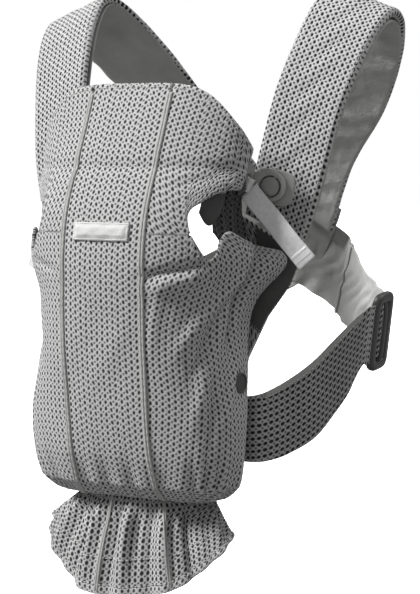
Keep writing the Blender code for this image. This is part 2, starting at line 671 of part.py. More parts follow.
def build_clip_plate(name, side, place):
    """Plate with a round hole for the button and a bar for the elastic band."""
    low = PLATE_FOOT
    high = low + PLATE_THICKNESS
    outline = [(0.0, low), (PLATE_RADIUS, low), (PLATE_RADIUS, high), (0.0, high)]
    disc = turned_mesh(f"clip_plate_{name}", outline, ROUND_STEPS)
    plate = hard_part(f"clip_plate_{name}", disc, place, "plastic")
    inner = -side
    tongue = (sorted((inner * TONGUE_NEAR, inner * TONGUE_FAR)), (-TONGUE_HALF_WIDTH, TONGUE_HALF_WIDTH),
              (low + TONGUE_STEP, high - TONGUE_STEP))
    add_box = link_mesh(f"clip_tongue_{name}", box_mesh("tongue", *zip(*tongue)), None, CUTTERS)
    add_box.matrix_world = place
    add_box.hide_render = True
    add_box.display_type = "WIRE"
    joined = plate.modifiers.new("tongue", "BOOLEAN")
    joined.operation = "UNION"
    joined.solver = "EXACT"
    joined.object = add_box
    hole = BUTTON_RADIUS + PLATE_HOLE_CLEARANCE
    first, last = low - CUT_PAST, high + CUT_PAST
    tool = turned_mesh("hole", [(0.0, first), (hole, first), (hole, last), (0.0, last)], ROUND_STEPS)
    cut(plate, cutter(f"clip_hole_{name}", tool, place))


def build_webbing():
    """Ladder locks, elastic bands and pull tabs between the head support's corners and the clips."""
    for name, side in SIDES.items():
        place = clip_place(side)
        low = PLATE_FOOT
        inner = -side
        lock_x = sorted((inner * LOCK_NEAR, inner * LOCK_FAR))
        lock = (lock_x, (-LOCK_HALF_WIDTH, LOCK_HALF_WIDTH), (low, low + PLATE_THICKNESS))
        frame = hard_part(f"ladder_lock_{name}", box_mesh(f"ladder_lock_{name}", *zip(*lock)), place, "plastic")
        slot_x = sorted((inner * LOCK_SLOT[0], inner * LOCK_SLOT[1]))
        slot = (slot_x, (-LOCK_SLOT_HALF, LOCK_SLOT_HALF), (low - CUT_PAST, low + PLATE_THICKNESS + CUT_PAST))
        cut(frame, cutter(f"lock_slot_{name}", box_mesh("slot", *zip(*slot)), place))
        round_edges(frame, 0.0006, 1)
        band_start = place @ Vector((inner * BAND_OFFSET, 0.0, low + SEWN_GAP))
        band_at = frame_at(band_start, (side * 0.10, -0.995, 0.0), (0.0, 0.0, 1.0))
        band = box_mesh(f"elastic_band_{name}", (0.0, -BAND_THICKNESS / 2, -BAND_WIDTH / 2),
                        (BAND_LENGTH, BAND_THICKNESS / 2, BAND_WIDTH / 2))
        hard_part(f"elastic_band_{name}", band, band_at, "webbing")
        build_pull_tab(name, side, place)


def build_pull_tab(name, side, place):
    """Webbing tail that starts over the ladder lock and can be lifted to tighten it."""
    start_height = BASE_THICKNESS + PLATE_THICKNESS + TAB_RISE
    tail = radians(TAB_TURNS[name])
    root = place @ Vector((-side * TAB_ROOT, 0.0, start_height))
    across_face = place.to_3x3() @ Vector((cos(tail), sin(tail), -0.02))
    face = place.to_3x3() @ Vector((0.0, 0.0, 1.0))
    at = frame_at(root, across_face, face)
    tab = box_mesh(f"pull_tab_{name}", (-TAB_HEEL, -WEBBING_WIDTH / 2, 0.0),
                   (PULL_TAB_LENGTH - TAB_HEEL, WEBBING_WIDTH / 2, WEBBING_THICKNESS))
    hard_part(f"pull_tab_{name}", tab, at, "webbing")


# ---- sliders and press studs -------------------------------------------------------------------
def build_sliders():
    """Sliders with two rails, a middle bar outside the strap and two end bars inside it."""
    half_length = SLIDER_LENGTH / 2.0
    half_window = SLIDER_STRAP_WIDTH / 2.0 + SLIDER_SIDE_CLEARANCE
    half_width = half_window + SLIDER_RAIL
    half_thick = SLIDER_THICKNESS / 2.0
    half_channel = SLIDER_CHANNEL / 2.0
    past = 0.002
    for name, side in SIDES.items():
        place = slider_place(side)
        body = box_mesh(f"slider_{name}", (-half_length, -half_thick, -half_width),
                        (half_length, half_thick, half_width))
        slider = hard_part(f"slider_{name}", body, place, "dark_plastic")
        channel = box_mesh("channel", (-half_length - past, -half_channel, -half_window),
                           (half_length + past, half_channel, half_window))
        cut(slider, cutter(f"slider_channel_{name}", channel, place))
        outer = side_sign(place)
        for label, first, last, where in (
                ("front", SLIDER_BAR / 2, half_length - 0.0015, outer),
                ("rear", -half_length + 0.0015, -SLIDER_BAR / 2, outer),
                ("inside", -half_length + SLIDER_BAR, half_length - SLIDER_BAR, -outer)):
            reach = sorted((where * half_thick + where * past, 0.0))
            window = box_mesh("window", (first, reach[0], -half_window), (last, reach[1], half_window))
            cut(slider, cutter(f"slider_{label}_window_{name}", window, place))


def side_sign(place):
    """Sign of the local Y that points away from the wearer."""
    outward = place.to_3x3() @ Vector((0.0, 1.0, 0.0))
    return 1.0 if outward.x * place.translation.x > 0 else -1.0


def build_snaps():
    """Press studs that close the panel's sides: a cap and socket outside and a stud inside."""
    half, _, middle, _ = section_values(np.array([SNAP_HEIGHT]))
    face = float(half[0])
    for name, side in SIDES.items():
        outside = face + SNAP_STAND_OFF
        depth = float(middle[0]) + SNAP_BACK_STEP
        centre = (side * outside, depth, SNAP_HEIGHT)
        place = frame_at(centre, (0.0, 1.0, 0.0), (side, 0.0, 0.0))
        profile = [(0.0, 0.0), (SNAP_RADIUS, 0.0), (SNAP_RADIUS, SNAP_CAP_HEIGHT * 0.6)]
        for step in range(1, 4):
            turn = step / 3 * pi / 2
            rise = SNAP_CAP_HEIGHT * 0.4 * sin(turn)
            profile.append((SNAP_RADIUS * (0.72 + 0.28 * cos(turn)), SNAP_CAP_HEIGHT * 0.6 + rise))
        profile.append((0.0, SNAP_CAP_HEIGHT))
        hard_part(f"snap_cap_{name}", turned_mesh(f"snap_cap_{name}", profile, 24), place, "dark_plastic")
        inside = face - PANEL_THICKNESS - SNAP_STAND_OFF
        back = frame_at((side * inside, depth, SNAP_HEIGHT), (0.0, 1.0, 0.0), (-side, 0.0, 0.0))
        stud = [(0.0, 0.0), (SNAP_STUD_RADIUS, 0.0), (SNAP_STUD_RADIUS, 0.6 * SNAP_STUD_HEIGHT),
                (0.4 * SNAP_STUD_RADIUS, SNAP_STUD_HEIGHT), (0.0, SNAP_STUD_HEIGHT)]
        hard_part(f"snap_socket_{name}", turned_mesh(f"snap_socket_{name}", stud, 24), back, "steel")


def move_to_origin():
    """Move everything so that the origin lies between the shoulder straps."""
    shift = Matrix.Translation(-Vector(SHOULDER))
    for item in list(PARTS.objects) + list(CUTTERS.objects):
        if item.parent is None:
            item.matrix_world = shift @ item.matrix_world


clear_scene()
PARTS = new_collection("soft_baby_carrier")
CUTTERS = new_collection("cutters")
build_panel()
build_floor()
build_head_support()
build_label()
build_skirt()
build_shoulder_straps()
build_back_straps()
build_side_straps()
build_inner_panel()
build_clips()
build_webbing()
build_sliders()
build_snaps()
bpy.context.view_layer.update()
move_to_origin()
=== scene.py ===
"""Dress the soft baby carrier: mesh fabric, satin straps, webbing and moulded clips around the CAD frame.

All sizes are metres.  Shapes are worked out in the maker's layout, with Z = 0 near the skirt's hem
and Y = 0 at the panel's foremost line, and are moved to the frame's origin when their mesh is made.
"""

import logging
import math
from dataclasses import dataclass
from enum import Enum

import bmesh
import bpy
import numpy as np
from mathutils import Matrix, Vector


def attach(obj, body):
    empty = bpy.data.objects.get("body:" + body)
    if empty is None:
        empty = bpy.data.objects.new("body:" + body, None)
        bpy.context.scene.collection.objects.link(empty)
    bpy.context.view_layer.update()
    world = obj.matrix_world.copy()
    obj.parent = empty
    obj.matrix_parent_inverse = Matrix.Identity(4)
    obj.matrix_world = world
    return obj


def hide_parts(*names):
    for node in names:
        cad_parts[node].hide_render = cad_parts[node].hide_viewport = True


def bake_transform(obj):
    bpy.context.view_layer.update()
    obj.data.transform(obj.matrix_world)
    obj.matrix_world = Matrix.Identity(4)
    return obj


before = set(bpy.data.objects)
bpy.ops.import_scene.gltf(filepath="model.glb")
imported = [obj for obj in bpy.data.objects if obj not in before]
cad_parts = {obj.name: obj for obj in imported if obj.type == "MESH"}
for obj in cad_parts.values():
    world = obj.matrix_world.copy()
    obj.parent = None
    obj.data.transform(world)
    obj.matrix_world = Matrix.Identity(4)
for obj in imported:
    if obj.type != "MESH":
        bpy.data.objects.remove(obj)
LOG = logging.getLogger("baby_carrier")
ORIGIN = np.array((0.0, 0.2050, 0.5500))    # the frame's origin in the maker's layout
SIDES = {"left": -1.0, "right": 1.0}


class Facing(Enum):
    """Which way a shell's outside looks."""

    FRONT = (0.0, -1.0, 0.0)
    BACK = (0.0, 1.0, 0.0)


# ---- finishes ----------------------------------------------------------------------------------
class Graph:
    """Small helper that adds shader nodes to one material."""

    def __init__(self, name: str) -> None:
        """Start a material with a Principled shader.

        Args:
            name: The material's name.
        """
        self.material = bpy.data.materials.new(name)
        self.material.use_nodes = True
        self.tree = self.material.node_tree
        self.shader = self.tree.nodes["Principled BSDF"]

    def add(self, kind: str, **settings: object) -> bpy.types.Node:
        """Add a node and set its properties.

        Args:
            kind: The node's type name.
            **settings: Attributes to set on it.

        Returns:
            The node.
        """
        node = self.tree.nodes.new(kind)
        for key, value in settings.items():
            setattr(node, key, value)
        return node

    def feed(self, socket: bpy.types.NodeSocket, value: object) -> None:
        """Link or set a socket.

        Args:
            socket: The input socket.
            value: Another node's output, or a plain value.
        """
        if isinstance(value, bpy.types.NodeSocket):
            self.tree.links.new(value, socket)
        else:
            socket.default_value = value

    def math(self, operation: str, *values: object) -> bpy.types.NodeSocket:
        """Work out one number from others.

        Args:
            operation: The Math node's operation.
            *values: Its inputs.

        Returns:
            The result's socket.
        """
        node = self.add("ShaderNodeMath", operation=operation)
        for socket, value in zip(node.inputs, values):
            self.feed(socket, value)
        return node.outputs[0]

    def ramp(self, value: object, low: float, high: float, start: float = 0.0, end: float = 1.0,
             smooth: bool = True) -> bpy.types.NodeSocket:
        """Map a number from one range to another, held at both ends.

        Args:
            value: The number's socket.
            low: Value that maps to start.
            high: Value that maps to end.
            start: Result at low.
            end: Result at high.
            smooth: Whether the change eases in and out.

        Returns:
            The result's socket.
        """
        node = self.add("ShaderNodeMapRange", interpolation_type="SMOOTHSTEP" if smooth else "LINEAR")
        for socket, item in zip(node.inputs, (value, low, high, start, end)):
            self.feed(socket, item)
        return node.outputs[0]

    def blend(self, share: object, first: object, second: object) -> bpy.types.NodeSocket:
        """Mix two colours.

        Args:
            share: 0 for the first colour and 1 for the second.
            first: The first colour.
            second: The second colour.

        Returns:
            The colour's socket.
        """
        node = self.add("ShaderNodeMix", data_type="RGBA")
        self.feed(node.inputs[0], share)
        self.feed(node.inputs[6], first)
        self.feed(node.inputs[7], second)
        return node.outputs[2]

    def noise(self, place: object, scale: float, detail: float = 2.0) -> bpy.types.NodeSocket:
        """Add a noise pattern.

        Args:
            place: The coordinates' socket.
            scale: Noise cells per metre.
            detail: Number of finer layers.

        Returns:
            The noise value's socket.
        """
        node = self.add("ShaderNodeTexNoise")
        self.feed(node.inputs["Vector"], place)
        node.inputs["Scale"].default_value = scale
        node.inputs["Detail"].default_value = detail
        return node.outputs[0]

    def bump(self, height: object, distance: float, strength: float = 1.0,
             under: object = None) -> bpy.types.NodeSocket:
        """Turn a height into a bent normal.

        Args:
            height: The height's socket.
            distance: Metres of relief at height 1.
            strength: Share of the effect.
            under: A normal that this one starts from.

        Returns:
            The normal's socket.
        """
        node = self.add("ShaderNodeBump")
        node.inputs["Distance"].default_value = distance
        node.inputs["Strength"].default_value = strength
        self.feed(node.inputs["Height"], height)
        if under is not None:
            self.feed(node.inputs["Normal"], under)
        return node.outputs[0]

    def cloth_place(self) -> tuple:
        """Coordinates that follow the cloth.

        Returns:
            The vector and its two parts, in metres across and along the cloth.
        """
        place = self.add("ShaderNodeTexCoord").outputs["UV"]
        parts = self.add("ShaderNodeSeparateXYZ")
        self.feed(parts.inputs[0], place)
        return place, parts.outputs[0], parts.outputs[1]


def grey(value: float, warm: float = 0.0) -> tuple:
    """Colour of a neutral grey.

    Args:
        value: Linear brightness.
        warm: Share by which blue is lowered.

    Returns:
        Red, green, blue and alpha.
    """
    return (value, value, value * (1.0 - warm), 1.0)


@dataclass(frozen=True)
class SpacerMesh:
    """Knitted spacer mesh: large oval holes at the corners of a square lattice, small ones between."""

    name: str = "spacer_mesh"
    thread: float = 0.52
    # hole: colour in the knit's openings, painted shade seen deep inside them
    hole: float = 0.045
    pitch: float = 0.0060
    hole_across: float = 0.00126
    hole_along: float = 0.00176
    small_hole: float = 0.00108
    small_depth: float = 0.66

    def openness(self, across: np.ndarray, along: np.ndarray) -> np.ndarray:
        """How open the knit is: 1 in a hole and 0 on the threads, from two ellipse distances.

        Args:
            across: Metres across the cloth.
            along: Metres along the cloth.

        Returns:
            The openness at each point.
        """
        def hole(shift: float, half_across: float, half_along: float) -> np.ndarray:
            """Openness of the holes of one lattice, from each point's distance to the nearest."""
            near_a = (across / self.pitch + shift) % 1.0 - 0.5
            near_b = (along / self.pitch + shift) % 1.0 - 0.5
            distance = np.hypot(near_a * self.pitch / half_across, near_b * self.pitch / half_along)
            return np.clip((1.5 - distance) / 1.0, 0.0, 1.0)

        large = hole(0.0, self.hole_across, self.hole_along)
        return np.maximum(large, 0.45 * hole(0.5, self.small_hole, self.small_hole))

    def material(self) -> bpy.types.Material:
        """Build the knit's material: holes painted dark as shade, painted shade round their rims, looped
        threads and slow changes of tone.

        Returns:
            The material.
        """
        graph = Graph(self.name)
        place, across, along = graph.cloth_place()
        sway = graph.noise(place, 160.0, 1.0)
        drift = graph.math("MULTIPLY", graph.math("SUBTRACT", sway, 0.5), 0.0009)
        across = graph.math("ADD", across, drift)
        along = graph.math("SUBTRACT", along, drift)

        def hole(shift: float, half_across: float, half_along: float) -> bpy.types.NodeSocket:
            """Distance from the middle of the nearest hole of one lattice, in hole radii."""
            parts = []
            for value, half in ((across, half_across), (along, half_along)):
                cell = graph.math("MULTIPLY_ADD", value, 1.0 / self.pitch, shift)
                near = graph.math("SUBTRACT", graph.math("FRACT", cell), 0.5)
                reach = graph.math("MULTIPLY", near, self.pitch / half)
                parts.append(graph.math("POWER", graph.math("ABSOLUTE", reach), 2.0))
            return graph.math("SQRT", graph.math("ADD", *parts))

        large = hole(0.0, self.hole_across, self.hole_along)
        small = hole(0.5, self.small_hole, self.small_hole)
        open_large = graph.ramp(large, 1.22, 0.72)
        open_small = graph.math("MULTIPLY", graph.ramp(small, 1.30, 0.50), self.small_depth)
        opened = graph.math("MAXIMUM", open_large, open_small)
        # painted shade: threads darken in a ring round each hole, where shade falls into the opening
        rim = graph.ramp(graph.math("MINIMUM", large, graph.math("ADD", small, 0.15)), 1.70, 1.05, 0.0, 0.42)
        loops = graph.math("MULTIPLY", graph.math("SINE", graph.math("MULTIPLY", across, 6400.0)),
                           graph.math("SINE", graph.math("MULTIPLY", along, 5200.0)))
        patch = graph.noise(place, 22.0, 3.0)
        fine = graph.noise(place, 900.0, 2.0)
        tone = graph.math("ADD", graph.math("MULTIPLY", loops, 0.07),
                          graph.math("MULTIPLY", graph.math("SUBTRACT", fine, 0.5), 0.35))
        tone = graph.math("ADD", tone, graph.math("MULTIPLY", graph.math("SUBTRACT", patch, 0.5), 0.16))
        light = graph.blend(graph.math("ADD", tone, 0.5), grey(self.thread * 0.72), grey(self.thread * 1.20))
        light = graph.blend(rim, light, grey(self.thread * 0.35))
        # painted shade: the openings take the dark hole colour
        graph.feed(graph.shader.inputs["Base Color"], graph.blend(opened, light, grey(self.hole, 0.04)))
        graph.shader.inputs["Roughness"].default_value = 0.92
        graph.shader.inputs["Specular IOR Level"].default_value = 0.22
        graph.shader.inputs["Sheen Weight"].default_value = 0.12
        height = graph.math("SUBTRACT", graph.math("MULTIPLY", loops, 0.12), opened)
        graph.feed(graph.shader.inputs["Normal"], graph.bump(height, 0.0010, 0.8))
        return graph.material


@dataclass(frozen=True)
class Satin:
    """Smooth satin weave with fine crosswise floats and soft creases."""

    name: str = "satin_lining"
    tone: float = 0.41
    roughness: float = 0.36
    crease: float = 0.0030

    def material(self) -> bpy.types.Material:
        """Build the satin's material.

        Returns:
            The material.
        """
        graph = Graph(self.name)
        place, across, along = graph.cloth_place()
        floats = graph.math("MULTIPLY", graph.math("SINE", graph.math("MULTIPLY", across, 9000.0)),
                            graph.math("SINE", graph.math("MULTIPLY", along, 14000.0)))
        cloud = graph.noise(place, 30.0, 4.0)
        share = graph.math("ADD", graph.math("MULTIPLY", floats, 0.12), cloud)
        colour = graph.blend(share, grey(self.tone * 0.72, 0.03), grey(self.tone * 1.28, 0.03))
        graph.feed(graph.shader.inputs["Base Color"], colour)
        rough = graph.ramp(cloud, 0.3, 0.7, self.roughness - 0.07, self.roughness + 0.08)
        graph.feed(graph.shader.inputs["Roughness"], rough)
        graph.shader.inputs["Sheen Weight"].default_value = 0.10
        graph.shader.inputs["Anisotropic"].default_value = 0.35
        folds = graph.bump(graph.noise(place, 70.0, 3.0), self.crease, 0.8)
        graph.feed(graph.shader.inputs["Normal"], graph.bump(floats, 0.00005, 0.5, folds))
        return graph.material


@dataclass(frozen=True)
class Webbing:
    """Flat woven tape with ribs across, a little darker towards both edges."""

    name: str = "webbing"
    tone: float = 0.82
    rib: float = 0.0011
    width: float = 0.0200

    def material(self) -> bpy.types.Material:
        """Build the tape's material.

        Returns:
            The material.
        """
        graph = Graph(self.name)
        place, across, along = graph.cloth_place()
        turn = 2.0 * math.pi / self.rib
        ribs = graph.math("SINE", graph.math("MULTIPLY", along, turn))
        picks = graph.math("SINE", graph.math("MULTIPLY", across, turn * 0.8))
        weave = graph.math("MULTIPLY", ribs, picks)
        # colour darkens towards both edges of the tape
        edge = graph.ramp(graph.math("ABSOLUTE", across), self.width * 0.40, self.width * 0.49, 0.0, 0.35)
        fuzz = graph.noise(place, 260.0, 3.0)
        share = graph.math("ADD", graph.math("MULTIPLY", weave, 0.22), fuzz)
        light = graph.blend(share, grey(self.tone * 0.78), grey(self.tone * 1.15))
        graph.feed(graph.shader.inputs["Base Color"], graph.blend(edge, light, grey(self.tone * 0.55)))
        graph.shader.inputs["Roughness"].default_value = 0.78
        graph.shader.inputs["Specular IOR Level"].default_value = 0.3
        graph.shader.inputs["Sheen Weight"].default_value = 0.15
        graph.feed(graph.shader.inputs["Normal"], graph.bump(weave, 0.00018, 0.8))
        return graph.material


@dataclass(frozen=True)
class PlainCloth:
    """Close plain weave, for facings, the patch, threads and foam."""

    name: str
    tone: float
    roughness: float = 0.75
    thread: float = 0.0006
    sheen: float = 0.1

    def material(self) -> bpy.types.Material:
        """Build the cloth's material on object coordinates.

        Returns:
            The material.
        """
        graph = Graph(self.name)
        place = graph.add("ShaderNodeTexCoord").outputs["Object"]
        parts = graph.add("ShaderNodeSeparateXYZ")
        graph.feed(parts.inputs[0], place)
        turn = 2.0 * math.pi / self.thread
        level = graph.math("ADD", parts.outputs[0], parts.outputs[1])
        weave = graph.math("MULTIPLY", graph.math("SINE", graph.math("MULTIPLY", level, turn)),
                           graph.math("SINE", graph.math("MULTIPLY", parts.outputs[2], turn)))
        cloud = graph.noise(place, 45.0, 3.0)
        share = graph.math("ADD", graph.math("MULTIPLY", weave, 0.15), cloud)
        colour = graph.blend(share, grey(self.tone * 0.80, 0.02), grey(self.tone * 1.18, 0.02))
        graph.feed(graph.shader.inputs["Base Color"], colour)
        graph.shader.inputs["Roughness"].default_value = self.roughness
        graph.shader.inputs["Sheen Weight"].default_value = self.sheen
        graph.feed(graph.shader.inputs["Normal"], graph.bump(weave, 0.0001, 0.6))
        return graph.material


@dataclass(frozen=True)
class Moulded:
    """Moulded plastic or metal with a fine spark-eroded grain and worn high spots."""

    name: str
    tone: float
    roughness: float = 0.42
    metallic: float = 0.0

    def material(self) -> bpy.types.Material:
        """Build the moulding's material on object coordinates.

        Returns:
            The material.
        """
        graph = Graph(self.name)
        place = graph.add("ShaderNodeTexCoord").outputs["Object"]
        grain = graph.noise(place, 2600.0, 2.0)
        cloud = graph.noise(place, 120.0, 3.0)
        colour = graph.blend(cloud, grey(self.tone * 0.85, 0.03), grey(self.tone * 1.18, 0.03))
        graph.feed(graph.shader.inputs["Base Color"], colour)
        rough = graph.ramp(cloud, 0.3, 0.7, self.roughness - 0.06, self.roughness + 0.08)
        graph.feed(graph.shader.inputs["Roughness"], rough)
        graph.shader.inputs["Metallic"].default_value = self.metallic
        graph.feed(graph.shader.inputs["Normal"], graph.bump(grain, 0.00004, 0.5))
        return graph.material


KNIT = SpacerMesh()
FINISHES = {
    "mesh_fabric": KNIT,
    "strap_mesh": SpacerMesh(name="strap_mesh", hole=0.014, small_depth=0.80, thread=0.56),
    "wide_mesh": SpacerMesh(name="stretched_mesh", pitch=0.0062, hole_across=0.0016,
                            hole_along=0.0022, hole=0.018, thread=0.50),
    "satin_lining": Satin(),
    "facing_fabric": PlainCloth("dark_facing", 0.075, 0.62),
    # the spacer mesh painted dark as shade, for mesh seen in shadow behind the arm holes
    "shaded_mesh": SpacerMesh(name="shaded_mesh", thread=0.13, hole=0.02),
    "webbing": Webbing(),
    "elastic": Webbing(name="elastic_band", tone=0.24, rib=0.0026, width=0.0170),
    "label_fabric": PlainCloth("label_cloth", 0.60, 0.7, 0.0005, 0.05),
    "thread": PlainCloth("sewing_thread", 0.52, 0.6, 0.0004),
    "seam_tape": PlainCloth("seam_tape", 0.38, 0.85, 0.0009),
    "white_thread": PlainCloth("light_thread", 0.80, 0.6, 0.0004),
    "foam": PlainCloth("foam_filling", 0.70, 0.95, 0.0012),
    "clip_plastic": Moulded("clip_plastic", 0.314, 0.40),
    "button_plastic": Moulded("button_plastic", 0.257, 0.36),
    "dark_plastic": Moulded("dark_plastic", 0.062, 0.42),
    "snap_metal": Moulded("snap_metal", 0.55, 0.32, 1.0),
}
MADE: dict = {}


def dress(piece: bpy.types.Object, finish: str) -> None:
    """Give a piece its material, made once for each finish.

    Args:
        piece: The piece.
        finish: A key of FINISHES.
    """
    if finish not in MADE:
        MADE[finish] = FINISHES[finish].material()
    piece.data.materials.clear()
    piece.data.materials.append(MADE[finish])


# ---- surfaces ----------------------------------------------------------------------------------
def smooth_path(points: object, count: int) -> np.ndarray:
    """Points of the Catmull-Rom curve through the given points, evenly spread by station.

    Args:
        points: The points that the curve runs through.
        count: Number of points to read.

    Returns:
        The curve's points.
    """
    knots = np.asarray(points, float)
    ring = np.vstack([2.0 * knots[:1] - knots[1:2], knots, 2.0 * knots[-1:] - knots[-2:-1]])
    place = np.linspace(0.0, len(knots) - 1.0, count)
    span = np.minimum(place.astype(int), len(knots) - 2)
    t = (place - span)[:, None]
    p0, p1, p2, p3 = ring[span], ring[span + 1], ring[span + 2], ring[span + 3]
    square = 2.0 * p0 - 5.0 * p1 + 4.0 * p2 - p3
    cube = 3.0 * p1 - p0 - 3.0 * p2 + p3
    return 0.5 * (2.0 * p1 + (p2 - p0) * t + square * t ** 2 + cube * t ** 3)


def ease(value: object, low: float, high: float) -> np.ndarray:
    """Smooth step from 0 at low to 1 at high.

    Args:
        value: Numbers to map.
        low: Where it starts.
        high: Where it ends; it may lie below low.

    Returns:
        The eased shares.
    """
    share = np.clip((np.asarray(value, float) - low) / (high - low), 0.0, 1.0)
    return share * share * (3.0 - 2.0 * share)


def hump(value: object, middle: float, width: float) -> np.ndarray:
    """Bell curve of height 1 round a middle, falling to 1/e at the given width."""
    return np.exp(-((np.asarray(value, float) - middle) / width) ** 2)


def ripple(*waves: object) -> np.ndarray:
    """Product of the sines of its inputs, a cheap repeatable crinkle."""
    result = 1.0
    for wave in waves:
        result = result * np.sin(wave)
    return result


def lengths(grid: np.ndarray, axis: int) -> np.ndarray:
    """Running length along one axis of a grid of points.

    Args:
        grid: Rows x columns x 3 points.
        axis: 0 for down the rows and 1 for across the columns.

    Returns:
        The length from the first point, at each point.
    """
    step = np.linalg.norm(np.diff(grid, axis=axis), axis=-1)
    pad = [(0, 0), (0, 0)]
    pad[axis] = (1, 0)
    return np.cumsum(np.pad(step, pad), axis=axis)


def grid_normals(grid: np.ndarray, toward: np.ndarray) -> np.ndarray:
    """Unit normals of a grid, turned as a whole to the side that toward lies on.

    Args:
        grid: Rows x columns x 3 points.
        toward: A direction, or one direction for each point.

    Returns:
        The normals.
    """
    flat = np.cross(np.gradient(grid, axis=0), np.gradient(grid, axis=1))
    flat /= np.maximum(np.linalg.norm(flat, axis=-1, keepdims=True), 1e-12)
    side = np.sign(np.median((flat * toward).sum(-1)))
    return flat * (side if side else 1.0)


def edge_distance(grid: np.ndarray) -> np.ndarray:
    """Distance of each point of a grid to the grid's nearest border, measured along rows and columns."""
    across = lengths(grid, 1)
    down = lengths(grid, 0)
    across = np.minimum(across, across[:, -1:] - across)
    down = np.minimum(down, down[-1:] - down)
    return np.minimum(across, down)


def crowded(count: int, length: float, rim: float) -> np.ndarray:
    """Shares from 0 to 1, evenly spread but closer together within rim of both ends.

    Args:
        count: Number of evenly spread shares.
        length: Length that the shares cover.
        rim: Length of the crowded stretch.

    Returns:
        The shares in rising order.
    """
    close = rim / length * np.array((0.0, 0.06, 0.22, 0.5, 0.8))
    even = np.linspace(rim / length, 1.0 - rim / length, max(2, count))
    return np.concatenate([close, even, 1.0 - close[::-1]])


def new_piece(name: str, points: np.ndarray, faces: np.ndarray, uv: np.ndarray = None,
              caps: tuple = ()) -> bpy.types.Object:
    """Make a smooth-shaded mesh object in the frame from points of the maker's layout.

    Args:
        name: The piece's name.
        points: N x 3 points.
        faces: M x 4 corner numbers.
        uv: N x 2 cloth coordinates, or None.
        caps: Further faces, as tuples of corner numbers.

    Returns:
        The object, at the origin.
    """
    mesh = bpy.data.meshes.new(name)
    every = faces.tolist() + [tuple(int(i) for i in cap) for cap in caps]
    mesh.from_pydata((points - ORIGIN).tolist(), [], every)
    if uv is not None:
        corner = np.zeros(len(mesh.loops), np.int32)
        mesh.loops.foreach_get("vertex_index", corner)
        layer = mesh.uv_layers.new(name="cloth")
        layer.data.foreach_set("uv", uv[corner].astype(np.float32).ravel())
    mesh.shade_smooth()
    piece = bpy.data.objects.new(name, mesh)
    bpy.context.scene.collection.objects.link(piece)
    return piece


def shell(name: str, grid: np.ndarray, uv: np.ndarray, thickness: object, toward: object, rim: float,
          relief: np.ndarray = None, keep: np.ndarray = None, edge: np.ndarray = None) -> bpy.types.Object:
    """Closed cloth shell: the grid moved half its thickness to each side, rounded off at its borders.

    The half thickness follows a quarter circle, sqrt(1 - (1 - d/rim)^2), of the distance d to the
    nearest border.  Relief moves both faces inwards.

    Args:
        name: The piece's name.
        grid: Rows x columns x 3 middle points.
        uv: Rows x columns x 2 cloth coordinates.
        thickness: Full thickness.
        toward: Direction that the first face looks along.
        rim: Width of the rounded border.
        relief: Depth of the knit's holes at each point.
        keep: Which cells are kept, for a grid with an opening.
        edge: Distance to the nearest border, where an opening changes it.

    Returns:
        The piece.
    """
    rows, columns = grid.shape[:2]
    normal = grid_normals(grid, np.asarray(toward, float))
    distance = edge_distance(grid) if edge is None else edge
    share = np.clip(distance / rim, 0.0, 1.0)
    half = np.asarray(thickness) / 2.0 * np.sqrt(np.maximum(1.0 - (1.0 - share) ** 2, 0.012))
    depth = 0.0 if relief is None else relief * share
    outer = grid + normal * (half - depth)[..., None]
    inner = grid - normal * (half - depth)[..., None]
    corner = np.arange(rows * columns).reshape(rows, columns)
    cells = np.stack([corner[:-1, :-1], corner[:-1, 1:], corner[1:, 1:], corner[1:, :-1]], axis=-1)
    cells = cells[keep] if keep is not None else cells.reshape(-1, 4)
    first = grid.reshape(-1, 3)
    turn = np.cross(first[cells[:, 1]] - first[cells[:, 0]], first[cells[:, 2]] - first[cells[:, 0]])
    if np.median((turn * normal.reshape(-1, 3)[cells[:, 0]]).sum(-1)) < 0:
        cells = cells[:, ::-1]
    total = rows * columns
    sides = np.stack([cells, np.roll(cells, -1, axis=1)], axis=-1).reshape(-1, 2)
    code = sides.min(1) * total + sides.max(1)
    _, where, count = np.unique(code, return_inverse=True, return_counts=True)
    border = sides[count[where.ravel()] == 1]
    wall = np.stack([border[:, 1], border[:, 0], border[:, 0] + total, border[:, 1] + total], axis=1)
    faces = np.concatenate([cells, cells[:, ::-1] + total, wall])
    points = np.concatenate([outer.reshape(-1, 3), inner.reshape(-1, 3)])
    both = np.concatenate([uv.reshape(-1, 2)] * 2)
    used, faces = np.unique(faces, return_inverse=True)
    return new_piece(name, points[used], faces.reshape(-1, 4), both[used])


def swept(name: str, path: np.ndarray, across: np.ndarray, normal: np.ndarray,
          profile: np.ndarray) -> bpy.types.Object:
    """Carry a closed profile of (across, up) pairs along a path and cap its ends.

    Args:
        name: The piece's name.
        path: N x 3 points.
        across: N x 3 unit directions of the profile's first number.
        normal: N x 3 unit directions of its second.
        profile: K x 2 points, anticlockwise seen against the path.

    Returns:
        The piece.
    """
    count, ring = len(path), len(profile)
    points = (path[:, None] + across[:, None] * profile[None, :, :1] + normal[:, None] * profile[None, :, 1:])
    corner = np.arange(count * ring).reshape(count, ring)
    after = np.roll(corner, -1, axis=1)
    faces = np.stack([corner[:-1], after[:-1], after[1:], corner[1:]], axis=-1).reshape(-1, 4)
    along = np.concatenate([[0.0], np.cumsum(np.linalg.norm(np.diff(path, axis=0), axis=1))])
    uv = np.stack(np.broadcast_arrays(profile[None, :, 0], along[:, None]), axis=-1)
    caps = (corner[0][::-1], corner[-1])
    piece = new_piece(name, points.reshape(-1, 3), faces, uv.reshape(-1, 2), caps)
    face_outwards(piece)
    return piece


def face_outwards(piece: bpy.types.Object) -> None:
    """Turn a closed mesh's faces to the outside."""
    work = bmesh.new()
    work.from_mesh(piece.data)
    bmesh.ops.recalc_face_normals(work, faces=work.faces)
    work.to_mesh(piece.data)
    work.free()


